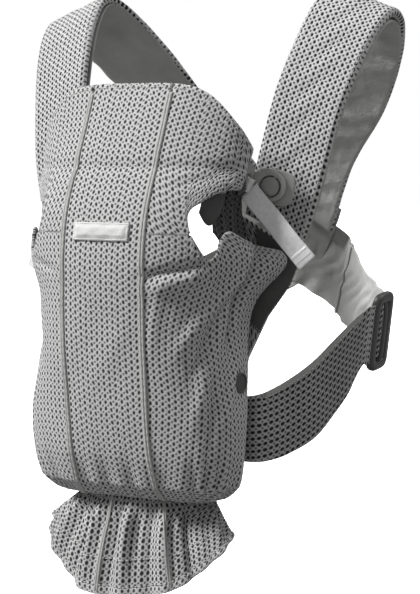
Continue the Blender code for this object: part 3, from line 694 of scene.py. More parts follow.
def stitches(name: str, path: np.ndarray, normal: np.ndarray, length: float = 0.0026, gap: float = 0.0012,
             thread: float = 0.0005) -> bpy.types.Object:
    """Row of small raised stitches, each a six-sided bead stretched along the path.

    Args:
        name: The piece's name.
        path: Points that the row follows.
        normal: Unit normals of the cloth at those points.
        length: Length of a stitch.
        gap: Gap between stitches.
        thread: Half thickness of the thread.

    Returns:
        The piece, one small closed bead per stitch.
    """
    run = np.concatenate([[0.0], np.cumsum(np.linalg.norm(np.diff(path, axis=0), axis=1))])
    starts = np.arange(gap, run[-1] - length, length + gap)
    place = starts[:, None] + np.array((0.0, 0.25, 0.75, 1.0))[None, :] * length

    def read(values: np.ndarray) -> np.ndarray:
        """Values of the path's points at each bead's four rings."""
        return np.stack([np.interp(place, run, values[:, k]) for k in range(3)], axis=-1)

    centre, up = read(path), read(normal)
    ahead = centre[:, -1:] - centre[:, :1]
    ahead /= np.linalg.norm(ahead, axis=-1, keepdims=True)
    side = np.cross(np.broadcast_to(ahead, up.shape), up)
    turn = np.arange(6) * math.pi / 3.0
    size = thread * np.array((0.35, 1.0, 1.0, 0.35))[None, :, None, None]
    ring = side[:, :, None] * np.cos(turn)[None, None, :, None] + up[:, :, None] * np.sin(turn)[None,
                                                                                                None, :, None]
    points = centre[:, :, None] + ring * size
    count = len(starts)
    corner = np.arange(count * 24).reshape(count, 4, 6)
    after = np.roll(corner, -1, axis=2)
    faces = np.stack([corner[:, :-1], corner[:, 1:], after[:, 1:], after[:, :-1]], axis=-1).reshape(-1, 4)
    caps = [tuple(bead[0]) for bead in corner] + [tuple(bead[3][::-1]) for bead in corner]
    piece = new_piece(name, points.reshape(-1, 3), faces, None, caps)
    face_outwards(piece)
    return piece


def turned(name: str, profile: np.ndarray, place: Matrix, steps: int = 72) -> bpy.types.Object:
    """Turn a (radius, height) profile round the placement's Z axis, closed at both ends on the axis.

    Args:
        name: The piece's name.
        profile: K x 2 points from the foot's centre to the top's centre.
        place: Where the axis stands, in the frame.
        steps: Number of steps round the axis.

    Returns:
        The piece.
    """
    turn = np.linspace(0.0, 2.0 * math.pi, steps, endpoint=False)
    ring = profile[1:-1]
    x = ring[:, None, 0] * np.cos(turn)[None]
    y = ring[:, None, 0] * np.sin(turn)[None]
    z = np.broadcast_to(ring[:, None, 1], x.shape)
    points = np.stack([x, y, z], axis=-1).reshape(-1, 3)
    ends = np.array(((0.0, 0.0, profile[0, 1]), (0.0, 0.0, profile[-1, 1])))
    points = np.concatenate([points, ends])
    world = np.array(place)
    points = points @ world[:3, :3].T + world[:3, 3] + ORIGIN
    corner = np.arange(len(ring) * steps).reshape(len(ring), steps)
    after = np.roll(corner, -1, axis=1)
    faces = np.stack([corner[:-1], after[:-1], after[1:], corner[1:]], axis=-1).reshape(-1, 4)
    foot, top = len(points) - 2, len(points) - 1
    caps = [(foot, b, a) for a, b in zip(corner[0], after[0])]
    caps += [(top, a, b) for a, b in zip(corner[-1], after[-1])]
    piece = new_piece(name, points, faces, None, tuple(caps))
    face_outwards(piece)
    piece.data.set_sharp_from_angle(angle=math.radians(50.0))
    return piece


def mirrored(grid: np.ndarray, side: float) -> np.ndarray:
    """Grid of the +X side, or its mirror image for the -X side."""
    return grid * np.array((1.0 if side > 0 else -1.0, 1.0, 1.0))


@dataclass
class Cloth:
    """One piece of cloth: a grid of middle points with its thickness and finish.

    Attributes:
        name: The piece's name.
        grid: Rows x columns x 3 middle points, rows along the grain.
        thickness: Full thickness.
        toward: Direction that the outside looks along, or one for each point.
        finish: Key of FINISHES.
        rim: Width of the rounded border.
        relief: Depth of the knit's holes.
        keep: Which cells are kept.
        edge: Distance of each point to the nearest border.
        cut: Whether the knit keeps its own length everywhere, as in a cut gore, or bends with a strap.
    """

    name: str
    grid: np.ndarray
    thickness: float
    toward: object
    finish: str
    rim: float = 0.0012
    relief: float = 0.0
    keep: np.ndarray = None
    edge: np.ndarray = None
    cut: bool = False

    def coordinates(self) -> np.ndarray:
        """Metres across the cloth from its middle line, and metres along it."""
        across = lengths(self.grid, 1)
        along = lengths(self.grid, 0)
        if not self.cut:
            along = np.broadcast_to(along[:, along.shape[1] // 2][:, None], across.shape)
        return np.stack([across - across[:, -1:] / 2.0, along], axis=-1)

    def build(self) -> bpy.types.Object:
        """Make the piece.

        Returns:
            The object, dressed in its finish.
        """
        uv = self.coordinates()
        holes = KNIT.openness(uv[..., 0], uv[..., 1]) * self.relief if self.relief else None
        piece = shell(self.name, self.grid, uv, self.thickness, self.toward, self.rim, holes, self.keep,
                      self.edge)
        dress(piece, self.finish)
        return piece

    def line(self, share: float, inset: float = 0.0, across: bool = False, lift: float = 0.0002) -> tuple:
        """Line on the cloth's outside for a row of stitches.

        Args:
            share: 0 for the first column and 1 for the last; rows if across.
            inset: Metres that the line is moved in from that column or row.
            across: Whether the line runs along a row.
            lift: Height over the cloth.

        Returns:
            The line's points and the cloth's normals there.
        """
        grid = self.grid if across else self.grid.transpose(1, 0, 2)
        normal = grid_normals(self.grid, np.asarray(self.toward, float))
        normal = normal if across else normal.transpose(1, 0, 2)
        run = lengths(grid, 0)
        want = run[-1] * share + inset * (1.0 if share < 0.5 else -1.0)
        index = np.array([np.interp(w, run[:, k], np.arange(len(run))) for k, w in enumerate(want)])
        low = np.clip(index.astype(int), 0, len(run) - 2)
        part = (index - low)[:, None]
        column = np.arange(grid.shape[1])
        points = grid[low, column] * (1.0 - part) + grid[low + 1, column] * part
        up = normal[low, column] * (1.0 - part) + normal[low + 1, column] * part
        return points + up * (self.thickness / 2.0 + lift), up

    def flat(self) -> tuple:
        """Width and length of the cloth laid flat, as mean lengths across and along it."""
        return float(lengths(self.grid, 1)[:, -1].mean()), float(lengths(self.grid, 0)[-1].mean())


def stitch_row(name: str, path: np.ndarray, up: np.ndarray, body: object, finish: str = "thread",
               **sizes: float) -> bpy.types.Object:
    """Sew one row of stitches and attach it to its body, or run a function on it.

    Args:
        name: The row's name.
        path: Points of the row.
        up: Normals of the cloth there.
        body: The body that it moves with, or a function that is run on it.
        finish: Key of FINISHES.
        **sizes: Sizes of a stitch.

    Returns:
        The piece.
    """
    row = stitches(name, path, up, **sizes)
    dress(row, finish)
    if callable(body):
        body(row)
    else:
        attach(row, body)
    return row


# ---- front panel -------------------------------------------------------------------------------
@dataclass(frozen=True)
class PanelForm:
    """Curved form that the front panel, its lining and its trims share.

    Each section is a superellipse: x = w sin^(2/n) and y = m - (m - f) cos^(2/n) of the turn round it.
    """

    half_width: float = 0.1210
    top: float = 0.4820
    corner_drop: float = 0.0600
    roundness: float = 2.4
    bottom: float = 0.0860
    seam: float = 0.0440
    fold: float = 0.4000
    sections: tuple = (
        (0.0860, 0.62, 0.0560, 0.0750, 80.0), (0.0900, 0.76, 0.0400, 0.0700, 96.0),
        (0.1020, 0.87, 0.0270, 0.0660, 116.0), (0.1300, 0.915, 0.0160, 0.0640, 124.0),
        (0.1650, 0.92, 0.0100, 0.0670, 120.0), (0.2000, 0.88, 0.0060, 0.0720, 110.0),
        (0.2400, 0.835, 0.0020, 0.0810, 102.0), (0.2800, 0.87, 0.0000, 0.0920, 96.0),
        (0.3200, 1.00, 0.0010, 0.1020, 90.0), (0.3600, 1.00, 0.0080, 0.1060, 67.0),
        (0.4000, 0.98, 0.0240, 0.1070, 74.0), (0.4400, 0.95, 0.0410, 0.1060, 82.0),
        (0.4850, 0.93, 0.0600, 0.1080, 79.0),
    )
    # turn and height of a fold's two ends, its width and its depth (positive stands out)
    folds: tuple = (
        (48.0, 0.3130, 20.0, 0.3030, 0.0050, -0.0044), (50.0, 0.3020, 24.0, 0.2900, 0.0070, 0.0030),
        (78.0, 0.3000, 44.0, 0.2350, 0.0080, 0.0038),
        (76.0, 0.2820, 50.0, 0.2120, 0.0070, -0.0036), (76.0, 0.2550, 48.0, 0.1650, 0.0090, 0.0026),
        (79.0, 0.3380, 82.0, 0.2380, 0.0055, -0.0090), (66.0, 0.2250, 58.0, 0.1300, 0.0080, -0.0020),
        (30.0, 0.2950, 26.0, 0.2300, 0.0080, 0.0014), (92.0, 0.2300, 70.0, 0.1600, 0.0080, 0.0024),
        (-48.0, 0.3140, -26.0, 0.3060, 0.0045, -0.0022), (-76.0, 0.2980, -46.0, 0.2380, 0.0090, 0.0014),
        (-82.0, 0.2800, -52.0, 0.2050, 0.0080, -0.0012), (-70.0, 0.2480, -50.0, 0.1600, 0.0090, 0.0012),
        (-80.0, 0.3350, -84.0, 0.2400, 0.0060, -0.0050), (-62.0, 0.2150, -56.0, 0.1300, 0.0080, -0.0018),
        (12.0, 0.2600, -6.0, 0.1900, 0.0120, 0.0012), (-14.0, 0.3000, 4.0, 0.2500, 0.0100, -0.0010),
        (60.0, 0.3980, 30.0, 0.3850, 0.0060, -0.0016), (-60.0, 0.3980, -30.0, 0.3850, 0.0060, -0.0016),
    )

    def section(self, height: np.ndarray) -> tuple:
        """Half width, front y, middle y and reach in degrees at each height."""
        table = np.array(self.sections)
        knots = smooth_path(table[:, 1:], 12 * (len(table) - 1) + 1)
        station = np.interp(height, table[:, 0], np.arange(len(table))) * 12.0
        half, front, middle, reach = (np.interp(station, np.arange(len(knots)),
                                                knots[:, k]) for k in range(4))
        return half * self.half_width, front, middle, reach

    def relief(self, angle: np.ndarray, height: np.ndarray) -> np.ndarray:
        """How far the cloth stands out of its form: folds, gathers at the floor and the fold line.

        A fold is a bell curve of the distance to the line between its ends, faded out at both.
        """
        turn = np.degrees(angle)
        total = np.zeros(np.broadcast(turn, height).shape)
        span = 0.0020                                   # metres of cloth for each degree of turn
        for turn_a, high_a, turn_b, high_b, width, depth in self.folds:
            run = np.array(((turn_b - turn_a) * span, high_b - high_a))
            across, up = (turn - turn_a) * span, height - high_a
            share = (across * run[0] + up * run[1]) / (run @ run)
            off = (across * run[1] - up * run[0]) / np.hypot(*run)
            fade = ease(share, -0.25, 0.25) * ease(share, 1.25, 0.65)
            total += depth * np.exp(-(off / width) ** 2) * fade
        gather = ease(height, 0.150, 0.092)
        total += 0.0016 * gather * np.sin(turn * 0.42 + 2.0 * np.sin(turn * 0.11))
        total -= 0.0018 * hump(height, self.fold + 0.002, 0.006)
        return total + 0.0009 * ripple(turn * 0.09 + 1.0, height * 46.0)

    def points(self, angle: np.ndarray, height: np.ndarray, lift: float = 0.0) -> np.ndarray:
        """Points of the form at the given turns and heights, moved out by lift.

        Args:
            angle: Turn round the section, in radians, positive to +X.
            height: Heights.
            lift: Distance out of the form.

        Returns:
            The points.
        """
        angle, height = np.broadcast_arrays(angle, height)
        half, front, middle, _ = self.section(height)
        out = self.relief(angle, height) + lift
        power = 2.0 / self.roundness
        across = np.sign(np.sin(angle)) * np.abs(np.sin(angle)) ** power
        depth = np.sign(np.cos(angle)) * np.abs(np.cos(angle)) ** power
        turn = np.degrees(np.abs(angle))
        wing = ease(turn, 70.0, 94.0) * hump(height, 0.316, 0.030)
        x = (half + out) * across + np.sign(angle) * wing * 0.0150
        y = middle - (middle - front + out) * depth + wing * 0.0120
        return np.stack([x, y, height], axis=-1)

    def seam_angle(self, height: np.ndarray, offset: float) -> np.ndarray:
        """Turn at which the form lies offset from its middle plane."""
        half = self.section(height)[0]
        return np.arcsin(np.minimum(1.0, (offset / half) ** (self.roundness / 2.0)))

    def top_height(self, angle: np.ndarray) -> np.ndarray:
        """Height of the top edge at each turn."""
        corner = ease(np.degrees(np.abs(angle)), 64.0, 84.0)
        return self.top - self.corner_drop * np.abs(np.sin(angle)) ** 4.2 - 0.0140 * corner ** 2


FORM = PanelForm()


def panel_blend(piece: bpy.types.Object) -> None:
    """Bake a piece's placement into its mesh."""
    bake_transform(piece)


@dataclass
class FrontPanel:
    """Front panel: three mesh gores that run up into the head support, with seams, patch and lining."""

    thickness: float = 0.0050
    # mesh behind each arm hole, painted dark as shade: its turns in degrees, its heights and its depth inside
    # the form
    mesh_turns: tuple = (58.0, 84.0)
    mesh_low: float = 0.3300
    mesh_high: float = 0.3850
    mesh_inset: float = 0.0200
    cell: float = 0.0015
    piping: float = 0.0050
    # turn in degrees, and height, along the lower and the upper lip of an arm hole
    lower_lip: tuple = ((41.0, 0.3410), (41.7, 0.3330), (43.5, 0.3240), (47.0, 0.3180), (52.0, 0.3215),
                        (60.0, 0.3340), (70.0, 0.3420), (78.0, 0.3435), (86.0, 0.3330), (96.0, 0.3220))
    upper_lip: tuple = ((41.0, 0.3410), (41.7, 0.3500), (43.5, 0.3590), (47.0, 0.3650), (52.0, 0.3680),
                        (60.0, 0.3730), (70.0, 0.3780), (78.0, 0.3800), (86.0, 0.3810), (96.0, 0.3810))

    def lip(self, points: tuple, turn: np.ndarray) -> np.ndarray:
        """Height of one lip of an arm hole at each turn in degrees, from a smooth curve."""
        curve = smooth_path(points, 200)
        return np.interp(turn, curve[:, 0], curve[:, 1])

    def hole_centre(self, turn: np.ndarray) -> np.ndarray:
        """Height of an arm hole's middle line at each turn in degrees."""
        return (self.lip(self.lower_lip, turn) + self.lip(self.upper_lip, turn)) / 2.0

    def hole_reach(self, turn: np.ndarray) -> np.ndarray:
        """Half height of an arm hole at each turn, 0 before its closed end."""
        return np.maximum(0.0, (self.lip(self.upper_lip, turn) - self.lip(self.lower_lip, turn)) / 2.0)

    def gore(self, side: str) -> Cloth:
        """Lay out a side gore, with the arm hole left open between two of its rows.

        The rows near the hole are bent to its middle line and then pushed apart to its two edges.

        Args:
            side: "left" or "right".

        Returns:
            The cloth.
        """
        share = crowded(int(0.396 / self.cell), 0.396, 0.004)[:, None]
        column = crowded(int(0.125 / self.cell), 0.125, 0.004)[None, :]
        angle = np.radians(40.0 + 40.0 * column) + 0.0 * share
        for _ in range(4):
            height = FORM.bottom + (FORM.top_height(angle) - FORM.bottom) * share
            start = FORM.seam_angle(height, FORM.seam + 0.0005)
            angle = start + (np.radians(FORM.section(height)[3]) - start) * column
        row = int(np.argmin(np.abs(height[:, 0] - 0.3450)))
        turn = np.degrees(angle[row:row + 1])
        middle = height[row:row + 2].mean(0, keepdims=True)
        centre = self.hole_centre(turn)
        height = height + (centre - middle) * hump(height, middle, 0.060)
        half = self.hole_reach(turn)
        off = height - centre
        far = np.clip(np.abs(off) / 0.070, 0.0, 1.0)
        below = (np.arange(len(height)) <= row)[:, None]
        height = np.where(below, -1.0, 1.0) * (half * (1.0 - far) ** 1.5) + height
        start = FORM.seam_angle(height, FORM.seam + 0.0005)
        angle = start + (np.radians(FORM.section(height)[3]) - start) * column
        grid = FORM.points(angle if side == "right" else -angle, height)
        closed = self.lower_lip[0][0]
        gap = np.where(turn > closed, np.abs(height - centre) - half,
                       np.hypot((closed - turn) * 0.0019, height - centre))
        edge = np.minimum(edge_distance(grid), np.maximum(gap, 0.0))
        keep = np.ones((len(height) - 1, height.shape[1] - 1), bool)
        keep[row] = (half[0, :-1] <= 0.0) & (half[0, 1:] <= 0.0)
        return Cloth(f"side_gore_{side}", grid, self.thickness, self.outward(grid), "mesh_fabric", 0.0032,
                     0.0006, keep, edge, True)

    def outward(self, grid: np.ndarray) -> np.ndarray:
        """Directions from the pouch's middle line to each point, level."""
        away = grid - np.array((0.0, 0.090, 0.0))
        away[..., 2] = 0.0
        return away

    def centre(self) -> Cloth:
        """Lay out the middle gore between the two seams."""
        share = crowded(int(0.396 / self.cell), 0.396, 0.003)[:, None]
        column = crowded(int(0.088 / self.cell), 0.088, 0.002)[None, :] * 2.0 - 1.0
        angle = np.radians(30.0) * column + 0.0 * share
        for _ in range(4):
            height = FORM.bottom + (FORM.top_height(angle) - FORM.bottom) * share
            angle = FORM.seam_angle(height, FORM.seam - 0.0005) * column
        grid = FORM.points(angle, height)
        return Cloth("center_gore", grid, self.thickness, Facing.FRONT.value, "mesh_fabric", 0.0030,
                     0.0006, cut=True)

    def build_seam(self, side: str) -> None:
        """Sew a seam: two round ridges side by side with stitches in the groove between them."""
        height = np.linspace(FORM.bottom + 0.003, FORM.top - 0.010, 200)
        sign = SIDES[side]
        around = np.linspace(0.0, 1.0, 17)[None, :]
        high = np.broadcast_to(height[:, None], (200, 17))
        offset = FORM.seam + (around - 0.5) * self.piping
        half = FORM.section(high)[0]
        angle = sign * np.arcsin(np.minimum(1.0, (offset / half) ** (FORM.roundness / 2.0)))
        ridge = 0.0013 * np.abs(np.sin(2.0 * math.pi * around)) ** 0.7
        pitch = 0.0003 * np.sin(height[:, None] * 2300.0)
        grid = FORM.points(angle, high) + 0.0
        normal = grid_normals(grid, self.outward(grid))
        grid = grid + normal * (self.thickness / 2.0 - 0.0002 + ridge + pitch * (ridge > 0.0006))[..., None]
        tape = Cloth(f"seam_piping_{side}", grid, 0.0012, self.outward(grid), "seam_tape", 0.0006)
        piece = tape.build()
        panel_blend(piece)
        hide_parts(f"seam_strip_{side}", f"head_seam_strip_{side}")
        path, up = tape.line(0.5)
        stitch_row(f"seam_stitches_{side}", path, up, panel_blend, thread=0.00035, length=0.0022)

    def build_label(self) -> None:
        """Sew on the blank patch: a puffed rectangle with a stitched border."""
        height = 0.3430 + (crowded(16, 0.0170, 0.002)[:, None] - 0.5) * 0.0170
        offset = (crowded(48, 0.0600, 0.002)[None, :] - 0.5) * 0.0600
        offset, height = np.broadcast_arrays(offset, height)
        angle = np.sign(offset) * FORM.seam_angle(height, np.abs(offset) + 1e-9)
        border = np.minimum(0.0085 - np.abs(height - 0.3430), 0.0300 - np.abs(offset))
        puff = 0.0017 * ease(border, 0.0014, 0.0060) + 0.0003 * ripple(offset * 300.0, height * 520.0)
        grid = FORM.points(angle, height, 0.0036)
        grid[..., 1] -= puff
        patch = Cloth("label_patch_cloth", grid, 0.0012, Facing.FRONT.value, "label_fabric", 0.0008)
        piece = patch.build()
        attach(piece, "front_panel")
        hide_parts("label_patch")
        for number, (share, across) in enumerate(((0.0, True), (1.0, True), (0.0, False), (1.0, False))):
            path, up = patch.line(share, 0.0012, across)
            stitch_row(f"label_stitches_{number}", path, up, "front_panel", "white_thread",
                       length=0.0016, gap=0.0009, thread=0.00034)

    def build_lining(self) -> None:
        """Hang the smooth lining inside the panel."""
        height = (0.1320 + crowded(110, 0.266, 0.002) * 0.2660)[:, None]
        inside = np.clip(1.0 - np.abs((height - 0.344) / 0.034) ** 3, 0.0, 1.0) ** 0.5
        reach = np.radians(np.minimum(FORM.section(height)[3], 84.0) - 7.0 - inside * 46.0)
        column = np.linspace(-1.0, 1.0, 121)[None, :]
        grid = FORM.points(reach * column, height, -0.0066)
        grid[..., 1] += 0.0006 * ripple(column * 40.0, height * 130.0)
        lining = Cloth("panel_lining", grid, 0.0012, Facing.BACK.value, "satin_lining", 0.0006)
        piece = lining.build()
        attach(piece, "front_panel")
        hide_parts("front_lining")

    def build_floor(self) -> None:
        """Close the pouch's floor with a curved piece of mesh."""
        angle = np.radians(80.0) * (crowded(90, 0.16, 0.003) * 2.0 - 1.0)
        edge = FORM.points(angle, np.full(len(angle), FORM.bottom), -0.001)
        share = crowded(26, 0.05, 0.003)[:, None, None]
        back = edge * np.array((0.88, 0.0, 1.0)) + np.array((0.0, 0.0930, 0.0))
        grid = edge[None] * (1.0 - share) + back[None] * share
        grid[..., 2] -= 0.0022 + 0.0010 * np.sin(math.pi * share[..., 0])
        floor = Cloth("pouch_floor", grid, 0.0030, (0.0, 0.0, -1.0), "mesh_fabric", 0.0018, 0.0004)
        piece = floor.build()
        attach(piece, "front_panel")
        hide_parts("seat_floor")

    def build_flap(self, side: str) -> None:
        """Hang a small flap of dark facing cloth inside the top of an arm hole, its darkness painted shade,
        and behind the hole a sheet of mesh painted dark as shade.
        """
        turn = np.linspace(46.0, 62.0, 30)[None, :]
        drop = 0.0290 - 0.0160 * ((turn - 55.0) / 8.5) ** 2
        height = self.lip(self.upper_lip, turn) + 0.0080 - drop * np.linspace(0.0, 1.0, 24)[:, None]
        curl = 0.0080 + 0.0060 * np.linspace(0.0, 1.0, 24)[:, None]
        grid = FORM.points(np.radians(SIDES[side] * turn), height, -curl)
        # painted shade: the flap's dark facing cloth stands for shade inside the arm hole's top lip
        flap = Cloth(f"arm_hole_flap_{side}", grid, 0.0010, self.outward(grid), "facing_fabric", 0.0005)
        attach(flap.build(), "front_panel")
        first, last = self.mesh_turns
        turn = first + (last - first) * crowded(30, 0.046, 0.002)[None, :]
        share = crowded(34, 0.060, 0.002)[:, None]
        low = self.mesh_low + 0.0120 * ((turn - 72.0) / 14.0) ** 2
        high = self.mesh_high - 0.0040 * ((turn - 60.0) / 24.0)
        inset = self.mesh_inset + 0.0040 * np.sin(share * math.pi) + 0.0012 * np.sin(turn * 0.7 + 5.0 * share)
        grid = FORM.points(np.radians(SIDES[side] * turn), low + (high - low) * share, -inset)
        # painted shade: this sheet takes the dark shaded_mesh finish
        web = Cloth(f"arm_hole_mesh_{side}", grid, 0.0016, self.outward(grid), "shaded_mesh", 0.0007)
        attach(web.build(), "front_panel")

    def build(self) -> None:
        """Make the whole front panel."""
        centre = self.centre()
        piece = centre.build()
        panel_blend(piece)
        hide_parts("front_panel_center", "head_support")
        path, up = centre.line(1.0, 0.0055, True)
        stitch_row("top_stitches_center", path, up, panel_blend, thread=0.0004)
        for side in SIDES:
            gore = self.gore(side)
            piece = gore.build()
            panel_blend(piece)
            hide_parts(f"front_panel_side_{side}")
            path, up = gore.line(1.0, 0.0055, True)
            stitch_row(f"top_stitches_{side}", path, up, panel_blend, thread=0.0004)
            self.build_seam(side)
            self.build_flap(side)
        self.build_label()
        self.build_lining()
        self.build_floor()
        LOG.info("front panel: three gores, two seams, patch, lining and floor")


@dataclass
class HeadCushion:
    """Soft filling behind the head support, blown up a little by a cloth simulation."""

    thickness: float = 0.0070
    reach: float = 52.0
    voxel: float = 0.0040
    frames: int = 20

    def build(self) -> None:
        """Make the filling."""
        angle = np.radians(self.reach) * (crowded(70, 0.20, 0.004) * 2.0 - 1.0)[None, :]
        share = crowded(24, 0.06, 0.004)[:, None]
        base = FORM.fold + 0.008
        height = base + (FORM.top_height(angle) - 0.009 - base) * share
        grid = FORM.points(angle, height, -0.0090)
        pad = Cloth("head_filling", grid, self.thickness, Facing.BACK.value, "satin_lining", 0.0035)
        piece = pad.build()
        self.inflate(piece)
        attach(piece, "head_support")
        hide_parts("head_cushion")
        LOG.info("head support filling: %d faces", len(piece.data.polygons))

    def inflate(self, piece: bpy.types.Object) -> None:
        """Run a short cloth simulation with inner pressure and keep its shape where it moved little.

        Args:
            piece: The closed cushion mesh.
        """
        scene = bpy.context.scene
        mesher = piece.modifiers.new("even_cells", "REMESH")
        mesher.mode = "VOXEL"
        mesher.voxel_size = self.voxel
        self.settle(piece)
        start = np.zeros(len(piece.data.vertices) * 3)
        piece.data.vertices.foreach_get("co", start)
        cloth = piece.modifiers.new("soft", "CLOTH")
        cloth.settings.use_pressure = True
        cloth.settings.uniform_pressure_force = 4.0
        cloth.settings.tension_stiffness = 40.0
        cloth.settings.compression_stiffness = 40.0
        cloth.settings.bending_stiffness = 8.0
        cloth.settings.effector_weights.gravity = 0.0
        scene.frame_start, scene.frame_end = 1, self.frames
        for number in range(1, self.frames + 1):
            scene.frame_set(number)
        self.settle(piece)
        scene.frame_set(1)
        end = np.zeros_like(start)
        piece.data.vertices.foreach_get("co", end)
        move = (end - start).reshape(-1, 3)
        size = np.linalg.norm(move, axis=1, keepdims=True)
        move *= np.minimum(1.0, 0.0020 / np.maximum(size, 1e-9))
        piece.data.vertices.foreach_set("co", (start.reshape(-1, 3) + move).ravel())
        piece.data.update()
        LOG.info("cushion simulation moved its cloth by %.1f mm at most", float(size.max()) * 1000.0)
        finer = piece.modifiers.new("smooth", "SUBSURF")
        finer.levels = finer.render_levels = 1
        self.settle(piece)
        piece.data.shade_smooth()
        dress(piece, "foam")

    def settle(self, piece: bpy.types.Object) -> None:
        """Apply the piece's modifiers to its mesh."""
        bpy.context.view_layer.update()
        depsgraph = bpy.context.evaluated_depsgraph_get()
        mesh = bpy.data.meshes.new_from_object(piece.evaluated_get(depsgraph))
        piece.modifiers.clear()
        piece.data = mesh


# ---- skirt -------------------------------------------------------------------------------------
@dataclass
class Skirt:
    """Gathered skirt below the pouch, with a hem, two seams and a stitched line."""

    top: float = 0.0805
    bottom: float = -0.0070
    thickness: float = 0.0026
    half_width: float = 0.1060
    waist: float = 0.0680
    pleat: float = 0.0052
    hem: float = 0.0080

    def points(self, share: np.ndarray, angle: np.ndarray) -> np.ndarray:
        """Points of the skirt: an arc that widens downwards, with pleats that start at the waist.

        Args:
            share: 0 at the waist and 1 at the hem.
            angle: Turn round the arc, in radians.

        Returns:
            The points.
        """
        half = self.waist + (self.half_width - self.waist) * share ** 0.8
        front = 0.0480 - 0.0180 * np.sin(share * math.pi / 2.0)
        turn = np.degrees(angle)
        wave = np.sin(turn * 0.20 + 1.1 * np.sin(turn * 0.05) + 0.6) + 0.45 * np.sin(turn * 0.47 + 1.5
                                                                                     * share)
        tight = ease(share, 0.0, 0.30) * (1.0 - 0.45 * ease(share, 0.4, 1.0))
        fine = 0.0009 * np.sin(turn * 2.3) * ease(share, 0.34, 0.0)
        out = self.pleat * wave * tight + fine
        x = (half + out) * np.sin(angle)
        y = front + 0.0460 * (1.0 - np.cos(angle)) - out * np.cos(angle)
        lift = 0.0640 * np.abs(np.sin(angle)) ** 3.2 * share
        edge = 0.0025 * np.sin(turn * 0.07) * share
        return np.stack([x, y, self.top + 0.0075 * (1.0 - share) - (self.top - self.bottom) * share + lift
                         + edge], axis=-1)

    def attach(self, piece: bpy.types.Object) -> None:
        """Bake a piece's placement into its mesh."""
        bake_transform(piece)

    def build(self) -> None:
        """Make the skirt and its hem."""
        share = crowded(64, 0.095, 0.002)[:, None]
        angle = np.radians(84.0) * (crowded(170, 0.26, 0.002) * 2.0 - 1.0)[None, :]
        grid = self.points(share, angle)
        toward = grid - np.array((0.0, 0.094, 0.0))
        toward[..., 2] = 0.0
        main = Cloth("skirt_cloth", grid, self.thickness, toward, "wide_mesh", 0.0014, 0.0005)
        piece = main.build()
        self.attach(piece)
        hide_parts("skirt")
        hem_share = 1.0 - self.hem / 0.0955
        low = (hem_share + (1.004 - hem_share) * crowded(5, 0.008, 0.001))[:, None]
        band_grid = self.points(low, angle)
        band_away = band_grid - np.array((0.0, 0.094, 0.0))
        band_away[..., 2] = 0.0
        band = Cloth("skirt_hem_band", band_grid, self.thickness + 0.0016, band_away, "mesh_fabric", 0.0010)
        hem = band.build()
        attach(hem, "skirt")
        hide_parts("skirt_hem")
        for name, row in (("hem", hem_share - 0.01), ("middle", 0.64)):
            line_share = np.full((4, 1), row) + np.array(((-0.02,), (-0.007,), (0.007,), (0.02,)))
            strip = self.points(line_share, angle)
            away = strip - np.array((0.0, 0.094, 0.0))
            away[..., 2] = 0.0
            guide = Cloth("guide", strip, self.thickness + (0.0012 if name == "hem" else 0.0), away, "thread")
            path, up = guide.line(0.5, 0.0, True)
            stitch_row(f"skirt_stitches_{name}", path, up, "skirt", length=0.0030)
        for side, sign in SIDES.items():
            turn = np.radians(9.0 + sign * 23.0 + 1.3 * np.linspace(-1.0, 1.0, 9))[None, :]
            rows = np.linspace(0.02, 0.97, 70)[:, None]
            strip = self.points(rows, turn)
            ridge = 0.0010 * np.abs(np.sin(np.linspace(0.0, 2.0 * math.pi, 9)))[None, :, None]
            strip = strip + np.array((0.0, -1.0, 0.0)) * (ridge + self.thickness / 2.0)
            tape = Cloth(f"skirt_seam_{side}", strip, 0.0010, Facing.FRONT.value, "seam_tape", 0.0005)
            self.attach(tape.build())
        LOG.info("skirt: gathered cloth, hem, two seams and two rows of stitches")


# ---- harness -----------------------------------------------------------------------------------
def ribbon(edge_a: object, edge_b: object, count: int, width: float, columns: int, rim: float) -> np.ndarray:
    """Grid between two edge curves, closer together near the edges.

    Args:
        edge_a: Points of the first edge.
        edge_b: Points of the second edge.
        count: Number of rows.
        width: Width that the columns cover.
        columns: Number of evenly spread columns.
        rim: Width of the crowded stretch.

    Returns:
        The grid, at evenly spread lengths along its middle line.
    """
    a, b = smooth_path(edge_a, 400), smooth_path(edge_b, 400)
    middle = (a + b) / 2.0
    run = np.concatenate([[0.0], np.cumsum(np.linalg.norm(np.diff(middle, axis=0), axis=1))])
    place = crowded(count, float(run[-1]), rim) * run[-1]
    station = np.interp(place, run, np.arange(400))
    pick = np.arange(400)
    ends = [np.stack([np.interp(station, pick, edge[:, k]) for k in range(3)], axis=-1) for edge in (a, b)]
    share = crowded(columns, width, rim)[None, :, None]
    return ends[0][:, None] * (1.0 - share) + ends[1][:, None] * share


def slider_place(side: float) -> Matrix:
    """Placement of a slider: X along the strap to the front, Z up its long side, Y outwards."""
    lean = math.radians(10.0)
    x_axis = Vector((0.0, -1.0, -0.12)).normalized()
    z_axis = Vector((math.sin(lean), 0.0, math.cos(lean)))
    z_axis = (z_axis - x_axis * z_axis.dot(x_axis)).normalized()
    place = Matrix.Translation((0.1790, 0.2300, 0.2400)) @ Matrix((x_axis, z_axis.cross(x_axis),
                                                                   z_axis)).transposed().to_4x4()
    flip = Matrix.Diagonal((-1.0, 1.0, 1.0, 1.0))
    return place if side > 0 else flip @ place @ flip


def channel_edges(first: float, last: float) -> tuple:
    """Upper and lower edge of a strap inside the +X slider, from first to last along it."""
    place = slider_place(1.0)
    stations = np.linspace(first, last, 4)
    return tuple([tuple(place @ Vector((at, 0.0, half))) for at in stations] for half in (0.030, -0.030))


